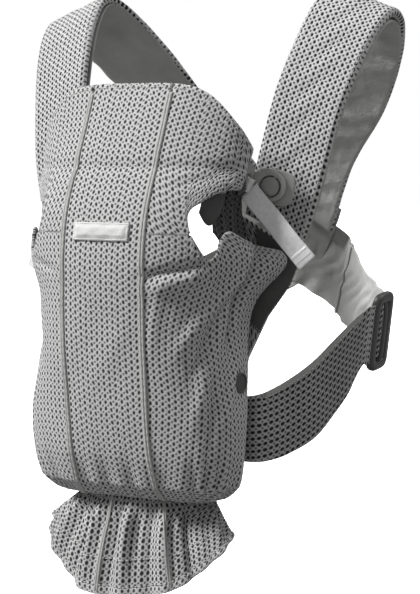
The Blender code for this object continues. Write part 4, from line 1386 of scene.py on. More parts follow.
@dataclass
class ShoulderStraps:
    """Padded mesh straps over the shoulders, smooth on the inside."""

    thickness: float = 0.0100
    inner: tuple = (
        (0.0890, 0.1215, 0.3580), (0.0970, 0.1240, 0.3930), (0.1040, 0.1290, 0.4300),
        (0.1100, 0.1440, 0.4770), (0.1180, 0.1650, 0.5200), (0.1240, 0.1880, 0.5540),
        (0.1270, 0.2140, 0.5720), (0.1180, 0.2420, 0.5600), (0.0930, 0.2720, 0.5200),
        (0.0700, 0.3040, 0.4720), (0.0380, 0.3400, 0.4120), (0.0040, 0.3680, 0.3600),
    )
    outer: tuple = (
        (0.1440, 0.1340, 0.3280), (0.1560, 0.1360, 0.3600), (0.1670, 0.1410, 0.4040),
        (0.1760, 0.1520, 0.4520), (0.1870, 0.1700, 0.4960), (0.1950, 0.1900, 0.5280),
        (0.1990, 0.2140, 0.5450), (0.1950, 0.2420, 0.5360), (0.1760, 0.2740, 0.5020),
        (0.1400, 0.3100, 0.4540), (0.0860, 0.3480, 0.3980), (0.0480, 0.3740, 0.3300),
    )

    def build(self) -> None:
        """Make both straps."""
        for side, sign in SIDES.items():
            rows = ribbon(self.inner, self.outer, 330, 0.075, 46, 0.005)
            away = rows - np.array((0.10, 0.26, 0.40))
            outward = grid_normals(rows, away)
            outward *= np.sign((outward * away).sum(-1, keepdims=True))
            along = lengths(rows, 0)
            crinkle = 0.0005 * ripple(along * 170.0 + 3.0 * np.sin(lengths(rows, 1) * 90.0),
                                      lengths(rows, 1) * 45.0)
            body = rows + outward * (self.thickness / 2.0 + crinkle)[..., None]
            strap = Cloth(f"strap_mesh_{side}", mirrored(body, sign), self.thickness, mirrored(outward, sign),
                          "strap_mesh", 0.0065, 0.0009)
            piece = strap.build()
            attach(piece, "harness")
            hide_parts(f"shoulder_strap_{side}")
            under = rows[::3, ::2] - outward[::3, ::2] * 0.0014
            under = under + outward[::3, ::2] * (0.0010
                    * ripple(along[::3, ::2] * 150.0 + 2.0 * np.sin(along[::3, ::2] * 60.0),
                             lengths(rows, 1)[::3, ::2] * 60.0))[..., None]
            lining = Cloth(f"strap_satin_{side}", mirrored(under, sign), 0.0014,
                           mirrored(-outward[::3, ::2], sign),
                           "satin_lining", 0.0010)
            satin = lining.build()
            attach(satin, "harness")
            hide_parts(f"strap_lining_{side}")
            for number, share in enumerate((0.0, 1.0)):
                slim = Cloth("guide", strap.grid, self.thickness * 0.84, strap.toward, "thread")
                path, up = slim.line(share, 0.0036)
                stitch_row(f"strap_stitches_{side}_{number}", path[4:-4], up[4:-4], "harness", length=0.0030)
        LOG.info("shoulder straps: padded mesh, satin lining and edge stitches")


@dataclass
class BackStraps:
    """Satin straps that cross at the back and run on to the sliders."""

    thickness: float = 0.0020
    upper: tuple = ((-0.0178, 0.3654, 0.3823), (-0.0053, 0.3757, 0.3633), (0.0280, 0.3895, 0.3450),
                    (0.0600, 0.3900, 0.3290),
                    (0.1000, 0.3450, 0.2990), (0.1450, 0.2980, 0.2780))
    lower: tuple = ((-0.0609, 0.3738, 0.3540), (-0.0493, 0.3817, 0.3333), (-0.0180, 0.3895, 0.2850),
                    (0.0380, 0.3915, 0.2520),
                    (0.0760, 0.3580, 0.2320), (0.1220, 0.3060, 0.2130))
    cross_step: float = 0.0028

    def build(self) -> None:
        """Make both straps with their mesh ends, hems and zig-zag edges."""
        upper_end, lower_end = channel_edges(-0.0180, -0.0010)
        for side, sign in SIDES.items():
            rows = ribbon(list(self.upper) + upper_end, list(self.lower) + lower_end, 220, 0.060, 50, 0.0016)
            fade = np.clip(1.9 - np.abs(rows[..., 0]) / 0.055, 0.0, 1.0)
            rows[..., 1] += self.cross_step * sign * fade
            away = rows - np.array((0.0, 0.20, 0.25))
            away[..., 2] = 0.0
            outward = grid_normals(rows, away)
            along, across = lengths(rows, 0), lengths(rows, 1)
            end = along[-1:] - along
            calm = ease(end, 0.045, 0.075)
            crinkle = 0.0011 * np.sin(along * 300.0 + 2.6
                                      * np.sin(across * 80.0 + along * 20.0)) * np.sin(across * 52.0)
            crinkle += 0.0012 * np.sin(along * 130.0 - across * 90.0 + 1.5 * np.sin(along * 55.0))
            rows = rows + outward * (crinkle * calm)[..., None]
            rows = mirrored(rows, -sign)
            toward = mirrored(away, -sign)
            cut = int(np.searchsorted(-end[:, 25], -0.048))
            satin = Cloth(f"back_satin_{side}", rows[:cut + 3], self.thickness, toward[:cut + 3],
                          "satin_lining", 0.0010)
            piece = satin.build()
            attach(piece, "harness")
            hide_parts(f"back_strap_{side}")
            tail = Cloth(f"back_tail_{side}", rows[cut - 2:], self.thickness * 0.8, toward[cut - 2:],
                         "wide_mesh", 0.0008, 0.0003)
            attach(tail.build(), "harness")
            self.build_crossing(side, rows, toward)
            hem_rows = rows[cut - 4:cut + 5] + grid_normals(rows, toward)[cut - 4:cut + 5] * 0.0016
            hem = Cloth(f"back_hem_{side}", hem_rows, 0.0010, toward[cut - 4:cut + 5], "satin_lining", 0.0006)
            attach(hem.build(), "harness")
            for number, share in enumerate((0.0, 1.0)):
                path, up = satin.line(share, 0.0026)
                ahead = np.gradient(path, axis=0)
                ahead /= np.linalg.norm(ahead, axis=1, keepdims=True)
                fine = np.linspace(0.0, len(path) - 1.0, len(path) * 4)
                read = [np.stack([np.interp(fine, np.arange(len(path)), v[:, k]) for k in range(3)], axis=-1)
                        for v in (path, up, np.cross(ahead, up))]
                run = np.concatenate([[0.0], np.cumsum(np.linalg.norm(np.diff(read[0], axis=0), axis=1))])
                zig = np.abs((run / 0.0052) % 1.0 - 0.5) * 4.0 - 1.0
                stitch_row(f"back_zigzag_{side}_{number}", read[0] + read[2] * (zig * 0.0012)[:, None],
                           read[1],
                           "harness", length=0.0024, gap=0.0003, thread=0.0006)
        LOG.info("back straps: crossed satin, mesh ends, hems and zig-zag edges")

    def build_crossing(self, side: str, rows: np.ndarray, toward: np.ndarray) -> None:
        """Sew the raised seam that lies across a strap just past the crossing.

        Args:
            side: Name of the shoulder that the strap starts on.
            rows: The strap's grid.
            toward: Directions that its outside looks along.
        """
        at = int(np.argmin(np.abs(np.abs(rows[:, rows.shape[1] // 2, 0]) - 0.0640)))
        part = slice(at - 3, at + 4)
        normal = grid_normals(rows, toward)[part]
        for number, face in enumerate((1.0, -1.0)):
            ridge = rows[part] + normal * face * (0.0016 + 0.0010
                                                  * np.sin(np.linspace(0.0, math.pi, 7)))[:, None, None]
            seam = Cloth(f"crossing_seam_{side}_{number}", ridge, 0.0010, toward[part] * face,
                         "satin_lining", 0.0006)
            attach(seam.build(), "harness")
            for place in (0.0, 1.0):
                path, up = seam.line(place, 0.0008, True)
                stitch_row(f"crossing_stitches_{side}_{number}_{int(place)}", path, up, "harness",
                           length=0.0022)


@dataclass
class SideStraps:
    """Mesh straps from the sliders to the panel's lower corners, bound along the top."""

    thickness: float = 0.0020
    upper: tuple = ((0.1640, 0.1780, 0.2440), (0.1450, 0.1600, 0.2180), (0.1260, 0.1400, 0.1980),
                    (0.1110, 0.1240, 0.1870), (0.1000, 0.1150, 0.1830), (0.0840, 0.1160, 0.1815))
    lower: tuple = ((0.1600, 0.1780, 0.1680), (0.1440, 0.1600, 0.1400), (0.1260, 0.1400, 0.1250),
                    (0.1110, 0.1240, 0.1190), (0.1000, 0.1150, 0.1180), (0.0840, 0.1160, 0.1175))

    def build(self) -> None:
        """Make both straps with their bindings and stitches."""
        upper_end, lower_end = channel_edges(0.0010, 0.0360)
        for side, sign in SIDES.items():
            rows = ribbon(upper_end + list(self.upper), lower_end + list(self.lower), 130, 0.070, 44, 0.0016)
            away = rows - np.array((0.0, 0.20, 0.18))
            away[..., 2] = 0.0
            outward = grid_normals(rows, away)
            along, across = lengths(rows, 0), lengths(rows, 1)
            calm = ease(along, 0.040, 0.070)
            wave = 0.0014 * np.sin(across * 95.0 + along * 24.0) * calm + 0.0006 * np.sin(along
                                                                                          * 120.0) * calm
            rows = rows + outward * wave[..., None]
            grid, toward = mirrored(rows, sign), mirrored(away, sign)
            strap = Cloth(f"side_mesh_{side}", grid, self.thickness, toward, "wide_mesh", 0.0010, 0.0004)
            piece = strap.build()
            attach(piece, "harness")
            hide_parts(f"side_strap_{side}")
            first, last = (int(v) for v in np.searchsorted(along[:, 0], (0.041, along[-1, 0] - 0.026)))
            normal = grid_normals(grid, toward)
            tape = grid[first:last, :9] + normal[first:last, :9] * 0.0016
            band = Cloth(f"side_binding_tape_{side}", tape, 0.0012, toward[first:last, :9], "seam_tape",
                         0.0006)
            binding = band.build()
            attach(binding, "harness")
            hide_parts(f"side_binding_{side}")
            path, up = band.line(1.0, 0.0012)
            stitch_row(f"side_stitches_{side}", path, up, "harness", "white_thread", length=0.0024,
                       thread=0.0004)
        LOG.info("side straps: mesh, binding and stitches")


@dataclass
class InnerPanel:
    """Wearer-side panel with a low neckline, its binding and the smooth facings of its sides."""

    thickness: float = 0.0040
    sections: tuple = ((0.1000, 0.0700, 0.1040, 0.1040), (0.1400, 0.0860, 0.1080, 0.1060),
                       (0.1800, 0.0900, 0.1120, 0.1080), (0.2200, 0.0970, 0.1160, 0.1120),
                       (0.2600, 0.1140, 0.1190, 0.1200), (0.2900, 0.1340, 0.1200, 0.1270),
                       (0.3100, 0.1410, 0.1210, 0.1310))
    neck_height: float = 0.2650
    neck_x: float = 0.0660
    neck_top: float = 0.3660

    def rows(self, high: np.ndarray, across: np.ndarray) -> np.ndarray:
        """Points at shares of the height below the neckline and of the half width.

        Args:
            high: 0 at the bottom and 1 at the top edge.
            across: -1 to 1 from side to side.

        Returns:
            The points.
        """
        table = np.array(self.sections)
        inner = self.neck_x / table[-1, 1]
        rise = np.clip(np.abs(across) / inner, 0.0, 1.0)
        fall = np.clip((np.abs(across) - inner) / (1.0 - inner), 0.0, 1.0)
        top = self.neck_height + (self.neck_top - self.neck_height) * rise ** 4
        top = top - (self.neck_top - 0.0100 - table[-1, 0]) * fall
        height = table[0, 0] + (top - table[0, 0]) * high
        half, middle, edge = (np.interp(height, table[:, 0], table[:, k]) for k in (1, 2, 3))
        wave = 0.0008 * ripple(across * 9.0 + 0.5, height * 60.0)
        return np.stack([half * across, middle + (edge - middle) * across ** 2 + wave, height], axis=-1)

    def build(self) -> None:
        """Make the panel, its binding and its facings."""
        high = crowded(130, 0.21, 0.002)[:, None]
        across = crowded(150, 0.24, 0.002)[None, :] * 2.0 - 1.0
        grid = self.rows(high, across)
        panel = Cloth("inner_mesh", grid, self.thickness, Facing.FRONT.value, "mesh_fabric", 0.0020, 0.0007)
        piece = panel.build()
        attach(piece, "harness")
        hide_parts("inner_panel")
        strip = self.rows(0.972 + 0.028 * np.linspace(0.0, 1.0, 8)[:, None], 0.56
                          * np.linspace(-1.0, 1.0, 150)[None, :])
        strip[..., 1] -= 0.0032
        band = Cloth("neck_binding", strip, 0.0014, Facing.FRONT.value, "facing_fabric", 0.0007)
        binding = band.build()
        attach(binding, "harness")
        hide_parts("neckline_binding")
        for side, sign in SIDES.items():
            part = self.rows(0.655 + 0.34 * np.linspace(0.0, 1.0, 60)[:, None],
                             (0.70 + 0.305 * np.linspace(0.0, 1.0, 40))[None, :])
            part[..., 1] -= 0.0034 + 0.0005 * np.sin(part[..., 2] * 240.0 + part[..., 0] * 150.0)
            facing = Cloth(f"side_facing_cloth_{side}", mirrored(part, sign), 0.0013, Facing.FRONT.value,
                           "facing_fabric", 0.0007)
            cover = facing.build()
            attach(cover, "harness")
            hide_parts(f"side_facing_{side}")
            path, up = facing.line(0.0, 0.0020, True)
            stitch_row(f"facing_stitches_{side}", path, up, "harness", thread=0.0003, length=0.0020)
        LOG.info("inner panel: mesh, neckline binding and two facings")


# ---- clips, sliders and press studs ------------------------------------------------------------
def clip_place(side: float) -> Matrix:
    """Placement of a clip in the frame: Z out of its face and X outwards along it."""
    turn = math.radians(12.0)
    x_axis = Vector((math.cos(turn), math.sin(turn), 0.0))
    face = Vector((math.sin(turn), -math.cos(turn), 0.047))
    z_axis = (face - x_axis * face.dot(x_axis)).normalized()
    place = Matrix.Translation((0.1240, 0.1090, 0.3840)) @ Matrix((x_axis, z_axis.cross(x_axis),
                                                                   z_axis)).transposed().to_4x4()
    flip = Matrix.Diagonal((-1.0, 1.0, 1.0, 1.0))
    place = place if side > 0 else flip @ place @ flip
    return Matrix.Translation(Vector(-ORIGIN)) @ place


def placed(points: np.ndarray, place: Matrix) -> np.ndarray:
    """Points of a placement's own axes, in the maker's layout."""
    world = np.array(place)
    return points @ world[:3, :3].T + world[:3, 3] + ORIGIN


def ring_plate(name: str, hole: float, outline: np.ndarray, low: float, high: float, fillet: float,
               place: Matrix) -> bpy.types.Object:
    """Flat plate with a round hole and rounded edges.

    Rings of points run round the section: up the hole, across the top, down the outline and back.

    Args:
        name: The piece's name.
        hole: Radius of the hole.
        outline: Distance from the axis to the outline at each of N even turns.
        low: Height of the underside.
        high: Height of the top.
        fillet: Radius of the rounded edges.
        place: Where the plate lies.

    Returns:
        The piece.
    """
    turn = np.linspace(0.0, 2.0 * math.pi, len(outline), endpoint=False)
    quarter = np.linspace(0.0, math.pi / 2.0, 5)
    rise, reach = fillet * (1.0 - np.cos(quarter)), fillet * (1.0 - np.sin(quarter))
    stations = [(0.0, a, low + b) for a, b in zip(rise[::-1], reach[::-1])]
    stations += [(0.0, a, high - b) for a, b in zip(rise, reach)]
    stations += [(1.0, -a, high - b) for a, b in zip(rise[::-1], reach[::-1])]
    stations += [(1.0, -a, low + b) for a, b in zip(rise, reach)]
    table = np.array(stations)
    radius = hole * (1.0 - table[:, :1]) + outline[None] * table[:, :1] + table[:, 1:2]
    points = np.stack([radius * np.cos(turn), radius * np.sin(turn),
                       np.broadcast_to(table[:, 2:3], radius.shape)], axis=-1)
    corner = np.arange(radius.size).reshape(radius.shape)
    down, right = np.roll(corner, -1, axis=0), np.roll(corner, -1, axis=1)
    both = np.roll(down, -1, axis=1)
    faces = np.stack([corner, right, both, down], axis=-1).reshape(-1, 4)
    piece = new_piece(name, placed(points.reshape(-1, 3), place), faces)
    face_outwards(piece)
    piece.data.set_sharp_from_angle(angle=math.radians(50.0))
    return piece


def rounded_box(name: str, low: tuple, high: tuple, bevel: float, place: Matrix) -> bpy.types.Object:
    """Box between two corners with rounded edges, at its placement."""
    work = bmesh.new()
    bmesh.ops.create_cube(work, size=1.0)
    bmesh.ops.scale(work, vec=[b - a for a, b in zip(low, high)], verts=work.verts)
    bmesh.ops.translate(work, vec=[(a + b) / 2.0 for a, b in zip(low, high)], verts=work.verts)
    bmesh.ops.bevel(work, geom=work.edges, offset=bevel, segments=4, profile=0.5, affect="EDGES")
    work.transform(place)
    mesh = bpy.data.meshes.new(name)
    work.to_mesh(mesh)
    work.free()
    mesh.shade_smooth()
    mesh.set_sharp_from_angle(angle=math.radians(50.0))
    piece = bpy.data.objects.new(name, mesh)
    bpy.context.scene.collection.objects.link(piece)
    return piece


@dataclass
class Clip:
    """Chest clip: a base with a press button, and a plate with a ladder lock and webbing on the panel."""

    side: str
    button_radius: float = 0.0092
    web_width: float = 0.0200
    web_thickness: float = 0.0014
    tab_length: float = 0.0930

    @property
    def sign(self) -> float:
        """Which side of the carrier the clip is on."""
        return SIDES[self.side]

    def build(self) -> None:
        """Make every piece of the clip."""
        place = clip_place(self.sign)
        self.build_base(place)
        self.build_plate(place)
        self.build_band(place)
        self.build_tab(place)
        LOG.info("clip %s: base, button, plate, ladder lock, elastic band and pull tab", self.side)

    def build_base(self, place: Matrix) -> None:
        """Make the base plate with its rounded corners and the domed button."""
        turn = np.linspace(0.0, 2.0 * math.pi, 96, endpoint=False)
        lean = turn + math.radians(10.0) * self.sign
        wide = np.where(np.cos(lean) * self.sign > 0.0, 0.0222, 0.0160)
        outline = (np.abs(np.cos(lean) / wide) ** 4 + np.abs(np.sin(lean) / 0.0168) ** 4) ** -0.25
        base = ring_plate(f"clip_base_{self.side}_moulding", self.button_radius + 0.0005, outline, 0.0003,
                          0.0040,
                          0.0010, place)
        dress(base, "clip_plastic")
        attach(base, "harness")
        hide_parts(f"clip_base_{self.side}")
        radius, foot, top, rise = self.button_radius, 0.0036, 0.0118, 0.0036
        arc = np.linspace(0.0, math.pi / 2.0, 18)
        dome = [(radius * math.cos(a) ** 0.8, top - rise + rise * math.sin(a)) for a in arc[:-1]]
        profile = np.array([(0.0, foot), (radius, foot)] + dome + [(0.0, top)])
        button = turned(f"press_button_{self.side}_dome", profile, place, 96)
        dress(button, "button_plastic")
        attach(button, f"button_{self.side}")
        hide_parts(f"press_button_{self.side}")

    def build_plate(self, place: Matrix) -> None:
        """Make the D-shaped plate and the ladder lock."""
        inner = -self.sign
        turn = np.linspace(0.0, 2.0 * math.pi, 128, endpoint=False)
        x, y = np.cos(turn) * inner, np.sin(turn)
        box = 1.0 / np.maximum(np.maximum(np.abs(x) / 0.0168, np.abs(y) / 0.0148), 1e-9)
        soft = (np.abs(x / 0.0165) ** 8 + np.abs(y / 0.0148) ** 8) ** (-1.0 / 8.0)
        outline = np.where(x > 0.0, np.minimum(box, soft), 0.0155 + (0.0148 - 0.0155) * np.abs(y) ** 2)
        plate = ring_plate(f"clip_plate_{self.side}_moulding", self.button_radius + 0.0013, outline,
                           0.0045, 0.0088, 0.0011, place)
        dress(plate, "clip_plastic")
        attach(plate, f"clip_{self.side}")
        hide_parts(f"clip_plate_{self.side}")
        pieces = (("outer_bar", 0.0166, 0.0190, 0.0128), ("middle_bar", 0.0206, 0.0224, 0.0108),
                  ("inner_bar", 0.0240, 0.0264, 0.0128))
        lock = []
        for label, first, last, half in pieces:
            span = sorted((inner * first, inner * last))
            lock.append(rounded_box(f"ladder_lock_{label}_{self.side}", (span[0], -half, 0.0052),
                                    (span[1], half, 0.0096), 0.0010, place))
        span = sorted((inner * 0.0166, inner * 0.0264))
        for label, first, last in (("upper_rail", 0.0104, 0.0128), ("lower_rail", -0.0128, -0.0104)):
            lock.append(rounded_box(f"ladder_lock_{label}_{self.side}", (span[0], first, 0.0054),
                                    (span[1], last, 0.0094), 0.0009, place))
        for part in lock:
            dress(part, "clip_plastic")
            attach(part, f"clip_{self.side}")
        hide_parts(f"ladder_lock_{self.side}")

    def web(self, name: str, route: list, across: tuple, place: Matrix, finish: str, width: float,
            thickness: float, ribs: float = 0.0) -> Cloth:
        """Lay out a tape along a route in the clip's own axes.

        Args:
            name: The piece's name.
            route: Points of its middle line.
            across: Direction of its width.
            place: The clip's placement.
            finish: Key of FINISHES.
            width: Width of the tape.
            thickness: Its thickness.
            ribs: Height of crosswise ribs.

        Returns:
            The cloth.
        """
        length = float(np.linalg.norm(np.diff(np.array(route), axis=0), axis=1).sum())
        path = smooth_path(route, max(24, int(length / 0.0007)))
        side = np.array(across) / np.linalg.norm(across)
        share = crowded(18, width, thickness) - 0.5
        grid = path[:, None] + side[None, None] * (share * width)[None, :, None]
        grid = placed(grid.reshape(-1, 3), place).reshape(grid.shape)
        if ribs:
            normal = grid_normals(grid, (0.0, -1.0, 0.0))
            grid = grid + normal * (ribs * np.sin(lengths(grid, 1) * 2.0 * math.pi / 0.0026))[..., None]
        return Cloth(name, grid, thickness, np.array(place)[:3, 2], finish, thickness * 0.6)

    def build_band(self, place: Matrix) -> None:
        """Make the ribbed elastic band from panel to ladder lock, and the webbing loop over its bar."""
        inner = -self.sign
        start = np.array((inner * 0.0248, 0.0, 0.0060))
        away = np.array((inner * 0.0272, 0.0, 0.0100))
        panel = np.array((inner * 0.0170, 0.004, 0.0290))
        route = [start, away, away + np.array((inner * 0.0002, 0.001, 0.0080)), panel
                 + np.array((inner * 0.004, 0.0, -0.008)), panel]
        band = self.web(f"elastic_band_{self.side}_ribbed", route, (0.0, 1.0, 0.0), place, "elastic",
                        0.0170, 0.0014, 0.00045)
        piece = band.build()
        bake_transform(piece)
        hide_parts(f"elastic_band_{self.side}")
        turn = np.linspace(-0.4 * math.pi, 1.4 * math.pi, 14)
        lean = (math.sin(0.45) * self.sign, math.cos(0.45), 0.0)
        aside = np.array((math.cos(0.45), -math.sin(0.45) * self.sign, 0.0))
        loop = [np.array((inner * 0.0200, 0.0015, 0.0112)) + aside * 0.0034 * math.cos(a)
                + np.array((0.0, 0.0, 0.0042 * math.sin(a)))
                for a in turn]
        tape = self.web(f"lock_loop_{self.side}", loop, lean, place, "webbing", 0.0135, 0.0013)
        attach(tape.build(), f"clip_{self.side}")

    def build_tab(self, place: Matrix) -> None:
        """Make the pull tab: webbing that comes over the lock's bar and ends in a folded, stitched hem."""
        inner = -self.sign
        tail = math.radians(-49.0 if self.sign > 0 else -114.0)
        ahead = np.array((math.cos(tail), math.sin(tail), -0.02))
        across = (-math.sin(tail), math.cos(tail), 0.0)
        root = np.array((inner * 0.0225, 0.0, 0.0149))
        length = self.tab_length
        route = [root + ahead * along + np.array((0.0, 0.0, rise))
                 for along, rise in ((0.0045, -0.0062), (0.0060, -0.0018), (0.0095, 0.0))]
        for share, rise in ((0.22, 0.0006), (0.45, -0.0010), (0.70, 0.0014), (0.90, 0.0004), (1.0, 0.0)):
            route.append(root + ahead * length * share + np.array((0.0, 0.0, rise)))
        tab = self.web(f"pull_tab_{self.side}_webbing", route, across, place, "webbing", self.web_width,
                       self.web_thickness)
        piece = tab.build()
        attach(piece, f"tab_{self.side}")
        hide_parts(f"pull_tab_{self.side}")
        fold = [root + ahead * (length - 0.0125) + np.array((0.0, 0.0, 0.0013)), root + ahead
                * (length - 0.006) + np.array((0.0, 0.0, 0.0015)),
                root + ahead * (length + 0.0003) + np.array((0.0, 0.0, 0.0010)), root + ahead * (length
                                                                                                 + 0.0008)]
        hem = self.web(f"pull_tab_{self.side}_fold", fold, across, place, "webbing", self.web_width,
                       self.web_thickness)
        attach(hem.build(), f"tab_{self.side}")
        for number, inset in enumerate((0.0022, 0.0082)):
            path, up = hem.line(0.0, inset, True)
            stitch_row(f"tab_stitches_{self.side}_{number}", path, up, f"tab_{self.side}", "white_thread",
                       length=0.0018, gap=0.0008, thread=0.00036)


@dataclass
class Slider:
    """Wide slider that joins the back strap to the side strap: a bowed ring and a middle bar."""

    side: str
    half_length: float = 0.0142
    half_width: float = 0.0345
    rail: float = 0.0052
    depth: float = 0.0044

    def ring(self, place: Matrix) -> bpy.types.Object:
        """Sweep an oval round a rounded rectangle whose two long bars lie inside the strap.

        The path is a superellipse of power 6, moved inwards where it runs beside the strap.
        """
        turn = np.linspace(0.0, 2.0 * math.pi, 160, endpoint=False)
        power = 2.0 / 6.0
        x = self.half_length * np.sign(np.cos(turn)) * np.abs(np.cos(turn)) ** power
        z = self.half_width * np.sign(np.sin(turn)) * np.abs(np.sin(turn)) ** power
        y = -0.0008 * (np.abs(x) / self.half_length) ** 4 * (1.0 - (np.abs(z) / self.half_width) ** 8)
        path = np.stack([x, y * self.outer(place), z], axis=-1)
        ahead = np.roll(path, -1, axis=0) - np.roll(path, 1, axis=0)
        ahead /= np.linalg.norm(ahead, axis=1, keepdims=True)
        up = np.broadcast_to((0.0, 1.0, 0.0), path.shape)
        side = np.cross(ahead, up)
        side /= np.linalg.norm(side, axis=1, keepdims=True)
        around = np.linspace(0.0, 2.0 * math.pi, 20, endpoint=False)
        oval = np.abs(np.stack([np.cos(around),
                np.sin(around)])) ** 0.75 * np.sign(np.stack([np.cos(around), np.sin(around)]))
        points = (path[:, None] + side[:, None] * (oval[0] * self.rail)[None, :, None]
                  + up[:, None] * (oval[1] * self.depth)[None, :, None])
        corner = np.arange(points.shape[0] * points.shape[1]).reshape(points.shape[:2])
        down, right = np.roll(corner, -1, axis=0), np.roll(corner, -1, axis=1)
        faces = np.stack([corner, right, np.roll(down, -1, axis=1), down], axis=-1).reshape(-1, 4)
        piece = new_piece(f"slider_{self.side}_ring", placed(points.reshape(-1, 3), place), faces)
        face_outwards(piece)
        return piece

    def outer(self, place: Matrix) -> float:
        """Sign of the placement's Y axis that points away from the wearer."""
        return 1.0 if (place.to_3x3() @ Vector((0.0, 1.0, 0.0))).x * SIDES[self.side] > 0 else -1.0

    def build(self) -> None:
        """Make the ring and the middle bar."""
        place = Matrix.Translation(Vector(-ORIGIN)) @ slider_place(SIDES[self.side])
        ring = self.ring(place)
        level = np.linspace(-1.0, 1.0, 40)
        path = np.stack([0.0 * level, 0.0040 * (1.0 - np.abs(level) ** 6) * self.outer(place), level
                         * self.half_width], axis=-1)
        around = np.linspace(0.0, 2.0 * math.pi, 20, endpoint=False)
        profile = np.stack([0.0031 * np.cos(around), 0.0017 * np.sin(around)], axis=-1)
        world = placed(path, place)
        axes = np.array(place)[:3, :3]
        across = np.broadcast_to(axes[:, 0], world.shape)
        normal = np.broadcast_to(axes[:, 1], world.shape)
        bar = swept(f"slider_{self.side}_bar", world, across, normal, profile)
        for piece in (ring, bar):
            dress(piece, "dark_plastic")
            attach(piece, f"slider_{self.side}")
        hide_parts(f"slider_{self.side}")
        LOG.info("slider %s: bowed ring and middle bar", self.side)


@dataclass
class Snap:
    """Press stud at a lower side of the panel: cap outside and socket inside."""

    side: str
    radius: float = 0.0100
    height: float = 0.0032

    def build(self) -> None:
        """Make the cap with its raised rim, and the metal socket."""
        sign = SIDES[self.side]
        half, _, middle, _ = (float(v[0]) for v in FORM.section(np.array([0.2000])))
        flip = Matrix(((0.0, 0.0, sign), (sign, 0.0, 0.0), (0.0, 1.0, 0.0))).to_4x4()
        relief = float(FORM.relief(np.array([sign * math.pi / 2.0]), np.array([0.2000]))[0])
        seat = Matrix.Translation((sign * (half + max(relief, 0.0) + 0.0018), middle + 0.002 - ORIGIN[1],
                                   0.2000 - ORIGIN[2]))
        r, h = self.radius, self.height
        arc = np.linspace(0.0, math.pi, 12)
        rim = [(r - 0.0011 + 0.0011 * math.cos(a), h * 0.60 + 0.0010 * math.sin(a)) for a in arc]
        dish = [(r * s, h * 0.52 + 0.0009 * (1.0 - s * s)) for s in (0.72, 0.5, 0.25)]
        profile = np.array([(0.0, 0.0), (r, 0.0)] + rim + dish + [(0.0, h * 0.52 + 0.0009)])
        cap = turned(f"snap_cap_{self.side}_moulding", profile, seat @ flip, 64)
        dress(cap, "dark_plastic")
        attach(cap, "front_panel")
        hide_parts(f"snap_cap_{self.side}")
        back = Matrix.Translation((sign * (half - 0.0074), middle + 0.002 - ORIGIN[1], 0.2000 - ORIGIN[2]))
        inward = Matrix(((0.0, 0.0, -sign), (-sign, 0.0, 0.0), (0.0, 1.0, 0.0))).to_4x4()
        stud = np.array([(0.0, 0.0), (0.0070, 0.0), (0.0070, 0.0009), (0.0062, 0.0014), (0.0046, 0.0012),
                         (0.0040, 0.0009),
                         (0.0034, 0.0020), (0.0028, 0.0024), (0.0020, 0.0012), (0.0, 0.0010)])
        socket = turned(f"snap_socket_{self.side}_metal", stud, back @ inward, 48)
        dress(socket, "snap_metal")
        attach(socket, "front_panel")
        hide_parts(f"snap_socket_{self.side}")
        LOG.info("press stud %s", self.side)


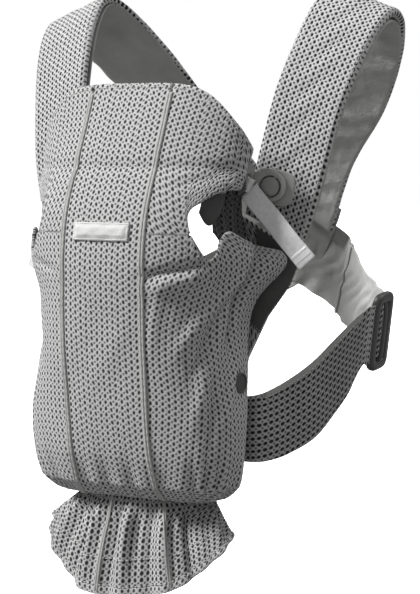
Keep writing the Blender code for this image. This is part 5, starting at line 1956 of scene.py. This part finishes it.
# ---- studio ------------------------------------------------------------------------------------
@dataclass
class Studio:
    """Camera, soft light and plain floor."""

    azimuth: float = 31.55
    elevation: float = 3.53
    distance: float = 1.994
    target: tuple = (0.0, -0.0550, -0.2500)
    lens: float = 121.0
    floor: float = -0.5950
    ambient: float = 0.17
    # floor brightness for bounced light and as seen
    bounce: float = 0.20
    floor_tone: float = 0.90
    # name, place that the light comes from, softness in degrees and power of each lamp
    lamps: tuple = (("key", (-2.3, -2.1, 2.7), 16.0, 5.2), ("fill", (1.6, -3.0, 0.8), 50.0, 0.20),
                    ("rim", (1.6, 1.4, 2.4), 40.0, 1.00))

    def build(self) -> None:
        """Make the camera, the lights, the pale floor and the white surroundings."""
        scene = bpy.context.scene
        turn, lift = math.radians(self.azimuth), math.radians(self.elevation)
        back = Vector((math.sin(turn) * math.cos(lift), -math.cos(turn) * math.cos(lift), math.sin(lift)))
        right = Vector((math.cos(turn), math.sin(turn), 0.0))
        up = back.cross(right)
        lens = bpy.data.cameras.new("camera")
        lens.lens, lens.sensor_width = self.lens, 36.0
        lens.clip_start, lens.clip_end = 0.05, 50.0
        camera = bpy.data.objects.new("camera", lens)
        scene.collection.objects.link(camera)
        place = Vector(self.target) + back * self.distance
        aim = Vector(self.target) + right * 0.0264 - up * 0.0279
        camera.location = place
        camera.rotation_euler = (place - aim).to_track_quat("Z", "Y").to_euler()
        scene.camera = camera
        scene.view_settings.view_transform = "Standard"
        for name, at, size, power in self.lamps:
            lamp = bpy.data.lights.new(name, "SUN")
            lamp.energy, lamp.angle = power, math.radians(size)
            light = bpy.data.objects.new(name, lamp)
            light.location = at
            light.rotation_euler = (Vector(at) - Vector(self.target)).to_track_quat("Z", "Y").to_euler()
            scene.collection.objects.link(light)
        self.build_room(scene)

    def build_room(self, scene: bpy.types.Scene) -> None:
        """Make the white surroundings, dimmer as a light than as a background, and the pale floor."""
        world = bpy.data.worlds.new("white_room")
        world.use_nodes = True
        tree = world.node_tree
        path = tree.nodes.new("ShaderNodeLightPath")
        level = tree.nodes.new("ShaderNodeMapRange")
        level.inputs["To Min"].default_value = self.ambient
        level.inputs["To Max"].default_value = 1.0
        tree.links.new(path.outputs["Is Camera Ray"], level.inputs["Value"])
        tree.links.new(level.outputs[0], tree.nodes["Background"].inputs["Strength"])
        tree.nodes["Background"].inputs["Color"].default_value = (1.0, 1.0, 1.0, 1.0)
        scene.world = world
        mesh = bpy.data.meshes.new("floor")
        reach = 12.0
        mesh.from_pydata([(-reach, -reach, self.floor), (reach, -reach, self.floor),
                          (reach, reach, self.floor),
                          (-reach, reach, self.floor)], [], [(0, 1, 2, 3)])
        ground = bpy.data.objects.new("floor", mesh)
        graph = Graph("studio_white")
        seen = graph.tree.nodes.new("ShaderNodeLightPath")
        tone = graph.tree.nodes.new("ShaderNodeMapRange")
        tone.inputs["To Min"].default_value = self.bounce
        tone.inputs["To Max"].default_value = self.floor_tone
        graph.tree.links.new(seen.outputs["Is Camera Ray"], tone.inputs["Value"])
        graph.tree.links.new(tone.outputs[0], graph.shader.inputs["Base Color"])
        graph.shader.inputs["Emission Color"].default_value = grey(1.0)
        graph.tree.links.new(seen.outputs["Is Camera Ray"], graph.shader.inputs["Emission Strength"])
        graph.shader.inputs["Roughness"].default_value = 0.9
        mesh.materials.append(graph.material)
        scene.collection.objects.link(ground)


@dataclass
class BabyCarrier:
    """The whole carrier."""

    def build(self) -> None:
        """Make every piece, then the studio."""
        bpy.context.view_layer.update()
        FrontPanel().build()
        HeadCushion().build()
        Skirt().build()
        InnerPanel().build()
        ShoulderStraps().build()
        BackStraps().build()
        SideStraps().build()
        for side in SIDES:
            Clip(side).build()
            Slider(side).build()
            Snap(side).build()
        Studio().build()
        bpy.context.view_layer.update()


def main() -> None:
    """Build the carrier."""
    logging.basicConfig(level=logging.INFO, format="%(name)s: %(message)s")
    BabyCarrier().build()


if __name__ == "__main__":
    main()
